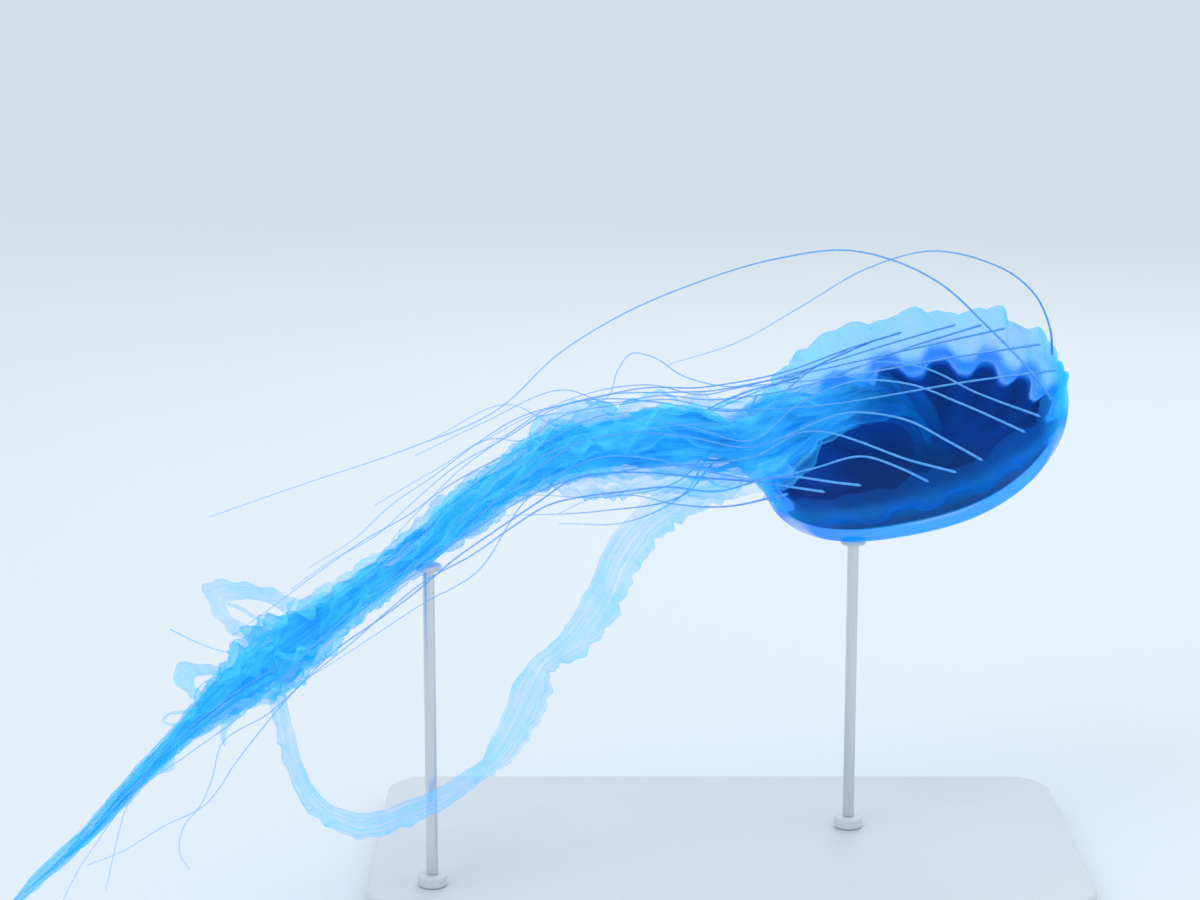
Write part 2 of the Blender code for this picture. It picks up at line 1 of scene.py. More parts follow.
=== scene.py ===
"""A sea nettle jellyfish on a display stand: its finished skins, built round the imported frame.

Units are metres and +Z is up. The bell has a frame of its own, whose Z points from the mouth to the apex.
The oral arms and the tentacles follow the trail, one smooth route through the middle of their bundle. A
place beside the trail is a distance along it, a distance out and an orbit angle, which is 0 above the
trail, 90 degrees in front of it and 180 degrees below it.
"""

import logging
from dataclasses import dataclass, field
from enum import Enum
from math import cos, pi, radians

import bmesh
import bpy
import numpy as np
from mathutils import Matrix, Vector
from numpy.typing import ArrayLike, NDArray

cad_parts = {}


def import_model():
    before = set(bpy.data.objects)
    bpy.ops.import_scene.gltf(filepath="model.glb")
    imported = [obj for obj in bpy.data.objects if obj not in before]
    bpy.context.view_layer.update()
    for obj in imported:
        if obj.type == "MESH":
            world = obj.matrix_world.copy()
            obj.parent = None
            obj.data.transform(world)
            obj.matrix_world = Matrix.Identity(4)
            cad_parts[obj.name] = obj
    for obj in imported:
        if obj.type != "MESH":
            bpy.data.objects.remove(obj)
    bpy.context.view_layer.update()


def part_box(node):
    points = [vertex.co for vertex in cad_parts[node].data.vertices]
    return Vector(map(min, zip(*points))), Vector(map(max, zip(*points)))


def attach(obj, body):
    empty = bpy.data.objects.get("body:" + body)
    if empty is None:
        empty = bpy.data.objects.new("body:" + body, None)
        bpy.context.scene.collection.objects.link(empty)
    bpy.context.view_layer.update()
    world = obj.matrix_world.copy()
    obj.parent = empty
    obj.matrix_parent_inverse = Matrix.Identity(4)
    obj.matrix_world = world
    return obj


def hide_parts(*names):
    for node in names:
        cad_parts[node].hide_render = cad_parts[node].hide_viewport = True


Array = NDArray[np.float64]
Colour = tuple[float, float, float]
Place = tuple[float, float, float]
Route = tuple[Place, ...]
Stations = tuple[tuple[float, float], ...]
Waves = tuple[tuple[float, float, float], ...]

LOG = logging.getLogger("sea_nettle")
BODY = "root"
GAP = 0.0003
TINY = 1e-12
MERGE_DISTANCE = 2e-6
THREAD_UP = (0.31, 0.42, 0.85)
JELLY_IOR = 1.34


class Slot(Enum):
    """The record's material slots."""

    JELLY = "jelly"
    POUCH = "pouch"
    FRILL = "frill"
    THREAD = "thread"
    STAND = "stand"
    STEEL = "steel"


# ---------------------------------------------------------------------------------------------------
# Numbers on grids


def smooth_step(low: float, high: float, values: ArrayLike) -> Array:
    """Values that rise smoothly from 0 at low to 1 at high: t^2 (3 - 2 t), t being the share of the way."""
    t = np.clip((np.asarray(values, float) - low) / (high - low), 0, 1)
    return t * t * (3 - 2 * t)


def bump(centre: float, width: float, values: ArrayLike) -> Array:
    """A rounded bump of height 1: the bell curve exp(-((value - centre) / width) squared)."""
    return np.exp(-(((np.asarray(values, float) - centre) / width) ** 2))


def wave(values: ArrayLike, length: float, phase: ArrayLike = 0.0) -> Array:
    """A sine of this wavelength: sin(2 pi value / length + phase)."""
    return np.sin(2 * pi * np.asarray(values, float) / length + phase)


def wander(values: ArrayLike, length: float, seed: float) -> Array:
    """An uneven wave between -1 and 1: three sines whose wavelengths share no common measure.

    Args:
        values: where along the wave.
        length: its longest wavelength.
        seed: shifts the three sines, each by its own amount.

    Returns:
        The wave's height at each value.
    """
    return (
        0.5 * wave(values, length, seed)
        + 0.3 * wave(values, length / 1.618, 2.3 * seed + 1.1)
        + 0.2 * wave(values, length / 2.718, 3.7 * seed + 2.9)
    )


def ripples(turn: Array, waves: Waves) -> Array:
    """Waves round a circle: the sum of strength sin(count turn + phase) over (count, strength, phase)."""
    return sum(strength * np.sin(count * turn + phase) for count, strength, phase in waves)


def toward(turn: ArrayLike, side: float, power: float = 1) -> Array:
    """How much each turn faces a side, 1 at it and 0 behind it: ((1 + cos(turn - side)) / 2)^power."""
    return ((1 + np.cos(turn - side)) / 2) ** power


def around(count: int) -> Array:
    """This many even steps of a full turn, as one row."""
    return np.linspace(0, 2 * pi, count, endpoint=False)[None, :]


def profile(values: ArrayLike, stations: Stations) -> Array:
    """A value read between the given (place, value) stations, along straight lines."""
    return np.interp(values, *zip(*stations))


def between(wanted: Array, along: Array, vectors: Array) -> Array:
    """Vectors that stand at these distances along, read at the wanted distances, along straight lines."""
    return np.stack([np.interp(wanted, along, vectors[:, axis]) for axis in range(3)], axis=-1)


def unit(vectors: Array) -> Array:
    """The vectors, each divided by its own length."""
    return vectors / np.maximum(np.linalg.norm(vectors, axis=-1, keepdims=True), TINY)


def running(points: Array) -> Array:
    """The distance along a line of points to each of them."""
    return np.concatenate([[0], np.cumsum(np.linalg.norm(np.diff(points, axis=0), axis=1))])


def smooth_route(points: ArrayLike, spacing: float, finer: int = 24) -> Array:
    """Points at about this spacing on a smooth curve through the given ones.

    Each stretch is a cubic Hermite curve. Its tangent at a given point is the mean of the slopes on both
    sides, each weighted by the gap on the other side.

    Args:
        points: (n, 3) points of the route.
        spacing: the wanted gap between the new points.
        finer: how many steps each stretch is measured in.

    Returns:
        (m, 3) points, evenly spaced along the curve.
    """
    way = np.array(points, float)
    gaps = np.linalg.norm(np.diff(way, axis=0), axis=1)[:, None]
    slopes = np.diff(way, axis=0) / gaps
    middle = (slopes[:-1] * gaps[1:] + slopes[1:] * gaps[:-1]) / (gaps[1:] + gaps[:-1])
    tangents = np.vstack([slopes[:1], middle, slopes[-1:]])
    t = np.linspace(0, 1, finer, endpoint=False)[None, :, None]
    fine = (
        (2 * t**3 - 3 * t**2 + 1) * way[:-1, None]
        + (t**3 - 2 * t**2 + t) * (gaps * tangents[:-1])[:, None]
        + (3 * t**2 - 2 * t**3) * way[1:, None]
        + (t**3 - t**2) * (gaps * tangents[1:])[:, None]
    )
    fine = np.vstack([fine.reshape(-1, 3), way[-1:]])
    along = running(fine)
    return between(np.linspace(0, along[-1], max(3, round(along[-1] / spacing) + 1)), along, fine)


class Trail:
    """A smooth route with a frame that turns no more than the route does."""

    def __init__(self, points: ArrayLike, up: ArrayLike, spacing: float = 0.004) -> None:
        """Works out the route and its frame.

        Args:
            points: the points that the route passes through.
            up: the way that counts as above at its start.
            spacing: the gap between its own points.
        """
        self.points = smooth_route(points, spacing)
        self.along = running(self.points)
        self.length = float(self.along[-1])
        ways = np.diff(self.points, axis=0) / np.diff(self.along)[:, None]
        self.ways = np.vstack([ways, ways[-1:]])
        self.ups = self._carried(np.array(up, float))
        self.fronts = np.cross(self.ways, self.ups)

    def _carried(self, up: Array) -> Array:
        """The upward way at each point of the route: the last one, less its part along the route.

        Args:
            up: the upward way at the start.

        Returns:
            (n, 3) unit vectors.
        """
        ups = np.empty_like(self.points)
        for index, way in enumerate(self.ways):
            up = up - way * up.dot(way)
            up /= np.linalg.norm(up)
            ups[index] = up
        return ups

    def place(self, distance: ArrayLike, out: ArrayLike, orbit: ArrayLike) -> Array:
        """Points beside the route: point + out (up cos(orbit) - front sin(orbit)).

        Args:
            distance: how far along the route.
            out: how far from it.
            orbit: the angle round it, in radians.

        Returns:
            The points, in the shape that the three make together.
        """
        distance, out, orbit = np.broadcast_arrays(distance, out, orbit)
        aside = (
            between(distance, self.along, self.ups) * np.cos(orbit)[..., None]
            - between(distance, self.along, self.fronts) * np.sin(orbit)[..., None]
        )
        return between(distance, self.along, self.points) + aside * out[..., None]

    def rounding(self, reach: ArrayLike) -> Array:
        """Two round ends: sqrt(1 - (1 - t)^2), up to 1, t being the way from the nearer end over reach."""
        nearer = np.minimum(self.along, self.length - self.along)[:, None]
        return np.sqrt(np.clip(1 - (1 - np.minimum(nearer / reach, 1)) ** 2, 0, 1))


# ---------------------------------------------------------------------------------------------------
# The body plan: the shapes that every piece is built on


@dataclass(frozen=True)
class BellPlan:
    """The bell's place, size and surface."""

    centre: Place = (0.139, 0.055, 0.311)
    apex_way: Place = (0.282, 0.319, -0.905)
    right_way: Place = (0.946, 0.068, 0.319)
    ring_radius: float = 0.1075
    height: float = 0.064
    ring_polar: float = radians(90)
    tip_polar: float = radians(120)
    skirt_span: float = radians(30)
    lappet_length: float = 0.024
    lappet_flare: float = 0.013
    flare_power: float = 1.4
    lappet_curl: float = 1.2
    curl_turn: float = radians(60)
    lappets: int = 32
    apex_thickness: float = 0.018
    ring_thickness: float = 0.0022
    first_cleft: float = radians(-24)
    fullness: Stations = ((radians(154), 0.21), (radians(230), 0.06))
    full_width: float = radians(29)

    def axes(self) -> Array:
        """The bell's own X, Y and Z, as three rows."""
        apex = unit(np.array(self.apex_way))
        right = unit(np.array(self.right_way))
        return np.array([right, np.cross(apex, right), apex])

    def to_world(self, local: ArrayLike) -> Array:
        """Points of the bell's own frame, moved to their place."""
        return np.asarray(local) @ self.axes() + np.array(self.centre)

    def skirt(self, polar: ArrayLike) -> Array:
        """How far down the skirt of lappets: 0 at the tentacle ring and above, 1 at a lappet's tip."""
        return np.maximum(polar - self.ring_polar, 0) / self.skirt_span

    def point(self, polar: ArrayLike, turn: ArrayLike, inset: ArrayLike, flare: ArrayLike = 0.0) -> Array:
        """Points this far inside the bell's outer face.

        radius = (ring radius - inset) sin(dome) + lappet flare skirt^1.4 + flare skirt
        height = (bell height - inset) cos(dome) - lappet length skirt

        The lappet flare is less round the curl's turn, where the lappets curl in. The radius then grows
        by up to each fullness, in a rounded bump round its turn.

        Args:
            polar: 0 at the apex, 90 degrees at the tentacle ring, 120 degrees at a lappet's tip.
            turn: the angle round the bell's axis.
            inset: the depth below the outer face.
            flare: how much further out than the plan a lappet's tip leans.

        Returns:
            The points, in the shape that the four make together.
        """
        polar, turn, inset, flare = np.broadcast_arrays(polar, turn, inset, flare)
        dome = np.minimum(polar, self.ring_polar)
        skirt = self.skirt(polar)
        curl = 1 - self.lappet_curl * toward(turn, self.curl_turn, 3)
        radius = (self.ring_radius - inset) * np.sin(dome)
        radius = radius + self.lappet_flare * curl * skirt**self.flare_power + flare * skirt
        radius = radius * (1 + sum(grow * bump(side, self.full_width, turn) for side, grow in self.fullness))
        height = (self.height - inset) * np.cos(dome) - self.lappet_length * skirt
        return self.to_world(np.stack([radius * np.cos(turn), radius * np.sin(turn), height], axis=-1))

    def thickness(self, polar: ArrayLike) -> Array:
        """The jelly's thickness: ring + (apex - ring) max(cos(polar), 0)^1.5."""
        swell = np.maximum(np.cos(polar), 0) ** 1.5
        return self.ring_thickness + (self.apex_thickness - self.ring_thickness) * swell


BELL = BellPlan()
TRAIL = Trail(
    (
        (0.148, 0.060, 0.294), (0.134, 0.044, 0.318), (0.100, 0.020, 0.333), (0.050, 0.000, 0.320),
        (0.000, -0.020, 0.308), (-0.060, -0.035, 0.314), (-0.110, -0.050, 0.311), (-0.155, -0.075, 0.293),
        (-0.205, -0.100, 0.258), (-0.262, -0.130, 0.221), (-0.315, -0.165, 0.187), (-0.367, -0.195, 0.147),
        (-0.416, -0.220, 0.098), (-0.458, -0.240, 0.061), (-0.486, -0.250, 0.030),
    ),
    up=(0.6, 0.3, 0.7),
)


# ---------------------------------------------------------------------------------------------------
# Shader graphs


class Value:
    """A number or colour in a shader graph. Arithmetic on it adds Math nodes."""

    def __init__(self, graph: "Graph", socket: bpy.types.NodeSocket) -> None:
        """Wraps an output socket of one of the graph's nodes."""
        self.graph = graph
        self.socket = socket

    def _maths(self, operation: str, first: "Value | float", second: "Value | float") -> "Value":
        """One Math node on two values."""
        return self.graph.add("Math", {"operation": operation}, {0: first, 1: second})

    def __add__(self, other: "Value | float") -> "Value":
        """self + other."""
        return self._maths("ADD", self, other)

    def __radd__(self, other: float) -> "Value":
        """other + self."""
        return self._maths("ADD", other, self)

    def __sub__(self, other: "Value | float") -> "Value":
        """self - other."""
        return self._maths("SUBTRACT", self, other)

    def __rsub__(self, other: float) -> "Value":
        """other - self."""
        return self._maths("SUBTRACT", other, self)

    def __mul__(self, other: "Value | float") -> "Value":
        """self * other."""
        return self._maths("MULTIPLY", self, other)

    def __rmul__(self, other: float) -> "Value":
        """other * self."""
        return self._maths("MULTIPLY", other, self)

    def __pow__(self, power: float) -> "Value":
        """self to this power."""
        return self._maths("POWER", self, power)

    def within(self, low: float, high: float) -> "Value":
        """The value, kept between two numbers."""
        return self.graph.add("Clamp", {}, {"Value": self, "Min": low, "Max": high})


class Graph:
    """A material's shader graph, built one node at a time."""

    def __init__(self, name: str) -> None:
        """Makes the material, with nothing in its graph but the surface's own coordinates in metres."""
        self.material = bpy.data.materials.new(name)
        self.material.use_nodes = True
        self.tree = self.material.node_tree
        self.tree.nodes.clear()
        self.places = self.add("TexCoord", {}, {}, "Object")

    def node(self, kind: str, settings: dict, inputs: dict) -> bpy.types.Node:
        """A node of this kind.

        Args:
            kind: its type's name after ShaderNode.
            settings: its own settings, and a ramp's (place, colour) stops, set before its sockets.
            inputs: a Value to link or a plain value to set, for each socket's name or number.

        Returns:
            The node.
        """
        made = self.tree.nodes.new("ShaderNode" + kind)
        for name, value in settings.items():
            if name == "stops":
                for _ in range(len(value) - len(made.color_ramp.elements)):
                    made.color_ramp.elements.new(0.5)
                for element, (place, colour) in zip(made.color_ramp.elements, value):
                    element.position = place
                    element.color = (*colour, 1)
            else:
                setattr(made, name, value)
        for name, value in inputs.items():
            if isinstance(value, Value):
                self.tree.links.new(value.socket, made.inputs[name])
            else:
                made.inputs[name].default_value = value
        return made

    def add(self, kind: str, settings: dict, inputs: dict, output: int | str = 0) -> Value:
        """A node of this kind, as the Value of one of its outputs."""
        return Value(self, self.node(kind, settings, inputs).outputs[output])

    def attribute(self, name: str) -> Value:
        """A number that the mesh holds at each vertex."""
        return self.add("Attribute", {"attribute_name": name}, {}, "Fac")

    def noise(self, scale: float, detail: float = 2.0, twist: float = 0.0, at: Value | None = None) -> Value:
        """Cloudy noise, mostly between 0.3 and 0.7, with this many clouds to the metre."""
        wanted = {"Vector": at or self.places, "Scale": scale, "Detail": detail, "Distortion": twist}
        return self.add("TexNoise", {}, wanted)

    def streaks(self, x: Value, y: Value, z: Value | float, detail: float, twist: float = 0.0) -> Value:
        """Noise on three numbers of the mesh's own, with one cloud to each unit of them."""
        return self.noise(1.0, detail, twist, self.add("CombineXYZ", {}, {0: x, 1: y, 2: z}))

    def rim(self, blend: float, power: float) -> Value:
        """How near a place is to the piece's outline: 0 where it faces the eye, 1 where it turns away."""
        return self.add("LayerWeight", {}, {"Blend": blend}, "Facing") ** power

    def ramp(self, value: Value, *stops: tuple) -> Value:
        """The colour between the (place, colour) stops that the value points to."""
        return self.add("ValToRGB", {"stops": stops}, {"Fac": value})

    def mixed(self, factor: Value, first: Value | Colour, second: Value | Colour) -> Value:
        """A colour between two others."""
        sides = [side if isinstance(side, Value) else (*side, 1) for side in (first, second)]
        return self.add("Mix", {"data_type": "RGBA"}, {0: factor, 6: sides[0], 7: sides[1]}, 2)

    def bumped(self, height: Value, distance: float, strength: float) -> Value:
        """Normals for a surface whose height varies by up to this distance."""
        return self.add("Bump", {}, {"Height": height, "Distance": distance, "Strength": strength}, "Normal")

    def finish(self, inputs: dict) -> bpy.types.Material:
        """Ends the graph in one Principled shader.

        Args:
            inputs: the shader's inputs, by socket name.

        Returns:
            The material.
        """
        shader = self.node("BsdfPrincipled", {}, inputs)
        output = self.node("OutputMaterial", {}, {})
        self.tree.links.new(shader.outputs[0], output.inputs["Surface"])
        return self.material


@dataclass(frozen=True)
class JellyFinish:
    """The bell's jelly: clear icy blue, milkier where it is dense, with fine grains, faint streaks and a
    painted glow.
    """

    name: str = "sea_nettle_jelly"
    deep: Colour = (0.010, 0.37, 1.0)
    clear: Colour = (0.060, 0.64, 1.0)
    milky: Colour = (0.16, 0.82, 0.98)
    # a deeper blue round the pouches and on the near wall before the stomach
    deep_round_stomach: Colour = (0.0, 0.21, 1.0)
    # painted light: a brighter lit blue, mixed in on the side under the pouches
    lit: Colour = (0.0, 0.46, 1.0)
    # painted glow: emission colours that stand in for light scattered through the jelly, which is no lamp
    painted_glow: Colour = (0.0, 0.60, 0.90)
    painted_glow_round_stomach: Colour = (0.0, 0.20, 0.90)
    painted_glow_strength: float = 0.34
    least_alpha: float = 0.34
    dense_alpha: float = 0.50
    rim_alpha: float = 0.75
    coat: float = 0.03

    def material(self) -> bpy.types.Material:
        """The material.

        The mesh's density makes it milkier and less clear, and so does its outline, as in glass. Its near
        value clears the wall in front of the stomach and turns it a deeper blue, and its halo deepens the
        blue of the jelly round the pouches. Its under value paints a brighter lit blue on the side under the
        pouches, as painted light, and an emission is painted glow, for light scattered through the jelly.

        Returns:
            The material, from the mesh's density, streaks, near, halo and under values.
        """
        graph = Graph(self.name)
        names = ("density", "streaks", "near", "halo", "under")
        density, streaks, near, halo, under = (graph.attribute(name) for name in names)
        clouds = graph.noise(26.0, 3.0, 0.4)
        grains = graph.noise(950.0, 1.0)
        rim = graph.rim(0.42, 2.2)
        body = (density * 0.62 + clouds * 0.60 + streaks * 0.12 - 0.16).within(0, 1)
        colour = graph.ramp(body, (0.0, self.deep), (0.42, self.clear), (1.0, self.milky))
        colour = graph.mixed(rim * 0.50, colour, self.deep)
        # painted light: a brighter lit blue on the side under the pouches
        colour = graph.mixed(under * 0.7, colour, self.lit)
        # how much deeper blue the jelly turns round the pouches and on the near wall before the stomach
        deep_round_stomach_mask = (halo + near * 0.85).within(0, 0.92)
        cover = density * self.dense_alpha + clouds * 0.22 + streaks * 0.06
        cover = cover + rim * (1.0 - near) * self.rim_alpha + halo * 0.40 + under * 0.60
        return graph.finish({
            "Base Color": graph.mixed(deep_round_stomach_mask, colour, self.deep_round_stomach),
            "Roughness": (0.22 + grains * 0.22).within(0, 1),
            "Alpha": ((cover + self.least_alpha - 0.08) * (1.0 - near * 0.88)).within(0.05, 0.92),
            "Normal": graph.bumped(grains * 0.5 + streaks * 0.8 + clouds * 0.5, 0.0009, 0.4),
            "IOR": JELLY_IOR,
            "Specular IOR Level": 0.03,
            "Coat Weight": self.coat - near * self.coat,
            "Coat Roughness": 0.15,
            # painted glow: an emission that stands in for light scattered through the jelly
            "Emission Color": graph.mixed(deep_round_stomach_mask, self.painted_glow, self.painted_glow_round_stomach),
            "Emission Strength": self.painted_glow_strength,
        })


@dataclass(frozen=True)
class PouchFinish:
    """The stomach's lining: dark indigo, paling to clear blue at the rims of its pouches, with painted shade
    that turns its outer face near black.
    """

    name: str = "sea_nettle_pouch"
    # painted shade: the near black that the cup's outer face is painted, as if in shade
    painted_shade_black: Colour = (0.0, 0.010, 0.075)
    dark: Colour = (0.0, 0.030, 0.17)
    indigo: Colour = (0.0, 0.055, 0.34)
    blue: Colour = (0.001, 0.20, 0.90)
    pale: Colour = (0.01, 0.32, 1.0)

    def material(self) -> bpy.types.Material:
        """The material.

        The mesh's rim value, 0 in the middle and 1 at a pouch's edge, leads its colour and alpha.

        Returns:
            The material, from the mesh's rim value and its painted-shade value, 1 on the cup's outer face.
        """
        graph = Graph(self.name)
        rim = graph.attribute("rim")
        clouds = graph.noise(45.0, 3.0, 0.5)
        grains = graph.noise(620.0, 2.0)
        blush = graph.noise(17.0, 2.0, 0.3)
        lead = (rim + (clouds - 0.5) * 0.30 + (blush - 0.42) * 0.9).within(0, 1)
        stops = ((0.0, self.dark), (0.45, self.indigo), (0.80, self.blue), (1.0, self.pale))
        # painted shade: darkens the cup's outer face, less towards the pouches' rims
        outside = graph.attribute("outside") * (1.0 - rim**2.0).within(0, 1) * 0.92
        soft = ((rim + (clouds - 0.5) * 0.5 - 0.42) * 1.9).within(0, 1)
        return graph.finish({
            "Base Color": graph.mixed(outside, graph.ramp(lead, *stops), self.painted_shade_black),
            "Roughness": (0.34 + grains * 0.24).within(0, 1),
            "Alpha": (1.05 - soft).within(0.05, 1),
            "Normal": graph.bumped(grains * 0.6 + clouds, 0.0010, 0.6),
            "IOR": JELLY_IOR,
            "Specular IOR Level": 0.08,
        })


@dataclass(frozen=True)
class FrillFinish:
    """The oral arms: streaked translucent membrane, whiter and denser on its folds and edges, with a painted
    glow.
    """

    name: str = "sea_nettle_frill"
    deep: Colour = (0.040, 0.43, 1.0)
    clear: Colour = (0.10, 0.61, 1.0)
    white: Colour = (0.44, 0.86, 1.0)
    veil: Colour = (0.0, 0.27, 0.95)
    # painted glow: emission colours that stand in for light scattered through the membrane, which is no lamp
    painted_glow: Colour = (0.01, 0.42, 1.0)
    veil_painted_glow: Colour = (0.0, 0.24, 0.85)
    painted_glow_strength: float = 0.38
    least_alpha: float = 0.25
    dense_alpha: float = 0.48

    def material(self) -> bpy.types.Material:
        """The material. Streaks run along the arm, and it turns to a clear veil where it is faint.

        Returns:
            The material, from the mesh's along, across, density and faint values.
        """
        graph = Graph(self.name)
        names = ("along", "across", "density", "faint")
        along, across, density, faint = (graph.attribute(name) for name in names)
        lines = graph.streaks(along * 15.0, across * 11.0, density * 0.4, 3.0, 0.5)
        clouds = graph.noise(38.0, 3.0, 0.5)
        grains = graph.noise(1100.0, 1.0)
        rim = graph.rim(0.40, 2.0)
        body = (density * 0.45 + (lines - 0.5) * 1.5 + clouds * 0.45 + rim * 0.10 - 0.04).within(0, 1)
        colour = graph.ramp(body, (0.0, self.deep), (0.42, self.clear), (1.0, self.white))
        inside = ((faint - 0.30) * 2.4).within(0, 1)
        cover = density * self.dense_alpha + (lines - 0.5) * 0.70 + (clouds - 0.5) * 0.45 + rim * 0.34
        return graph.finish({
            "Base Color": graph.mixed(inside, colour, self.veil),
            "Roughness": (0.30 + grains * 0.25).within(0, 1),
            "Alpha": ((cover + self.least_alpha) * (1.0 - faint)).within(0.02, 0.97),
            "Normal": graph.bumped(lines + grains * 0.2, 0.0012, 0.6),
            "IOR": JELLY_IOR,
            "Specular IOR Level": 0.15,
            "Coat Weight": 0.05,
            "Coat Roughness": 0.20,
            # painted glow: an emission that stands in for light scattered through the membrane
            "Emission Color": graph.mixed(inside, self.painted_glow, self.veil_painted_glow),
            "Emission Strength": self.painted_glow_strength,
        })


@dataclass(frozen=True)
class ThreadFinish:
    """The tentacles: smooth blue threads with faint bands of stinging cells."""

    name: str = "sea_nettle_thread"
    deep: Colour = (0.040, 0.32, 0.90)
    pale: Colour = (0.20, 0.62, 1.0)
    bands_to_metre: float = 420.0

    def material(self) -> bpy.types.Material:
        """The material. Bands cross the thread at uneven gaps, and it pales from its root to its tip.

        Returns:
            The material, from the mesh's along and share values.
        """
        graph = Graph(self.name)
        share = graph.attribute("share")
        bands = graph.streaks(graph.attribute("along") * self.bands_to_metre, share, 0.0, 1.0)
        clouds = graph.noise(90.0)
        body = (share * 0.30 + bands * 0.35 + clouds * 0.55 - 0.05).within(0, 1)
        return graph.finish({
            "Base Color": graph.ramp(body, (0.15, self.deep), (0.95, self.pale)),
            "Roughness": (0.28 + bands * 0.2).within(0, 1),
            "Alpha": (0.88 - share * 0.60 + (bands - 0.5) * 0.3).within(0.22, 1),
            "Normal": graph.bumped(bands, 0.0003, 0.5),
            "IOR": 1.37,
            "Coat Weight": 0.2,
        })


@dataclass(frozen=True)
class PaintFinish:
    """The stand's satin powder coat, with the fine orange peel that such paint has."""

    name: str = "display_stand_paint"
    colour: Colour = (0.56, 0.60, 0.64)
    worn: Colour = (0.66, 0.69, 0.72)

    def material(self) -> bpy.types.Material:
        """The material, with soft smudges in its colour and gloss."""
        graph = Graph(self.name)
        smudges = graph.noise(9.0, 4.0, 0.3)
        return graph.finish({
            "Base Color": graph.mixed(smudges, self.colour, self.worn),
            "Roughness": (0.36 + smudges * 0.22).within(0, 1),
            "Normal": graph.bumped(graph.noise(700.0), 0.0004, 0.35),
        })


@dataclass(frozen=True)
class SteelFinish:
    """The rods' brushed steel, with fine scratches along them."""

    name: str = "display_stand_steel"
    colour: Colour = (0.60, 0.62, 0.65)
    bright: Colour = (0.74, 0.76, 0.78)
    scratches: Place = (2600.0, 2600.0, 40.0)

    def material(self) -> bpy.types.Material:
        """The material, whose scratches are noise drawn out along Z."""
        graph = Graph(self.name)
        drawn = graph.add("Mapping", {}, {"Vector": graph.places, "Scale": self.scratches})
        brushed = graph.noise(1.0, at=drawn)
        return graph.finish({
            "Base Color": graph.mixed(brushed, self.colour, self.bright),
            "Metallic": 1.0,
            "Roughness": (0.22 + brushed * 0.22).within(0, 1),
            "Normal": graph.bumped(brushed, 0.0001, 0.4),
        })


@dataclass(frozen=True)
class FloorFinish:
    """The studio's plain pale floor."""

    name: str = "studio_floor"
    colour: Colour = (0.70, 0.76, 0.80)
    other: Colour = (0.73, 0.78, 0.81)

    def material(self) -> bpy.types.Material:
        """The material, with broad faint clouds."""
        graph = Graph(self.name)
        clouds = graph.noise(2.0)
        return graph.finish({
            "Base Color": graph.mixed(clouds, self.colour, self.other),
            "Roughness": (0.55 + clouds * 0.1).within(0, 1),
        })


# ---------------------------------------------------------------------------------------------------
# Skins: meshes put together from grids


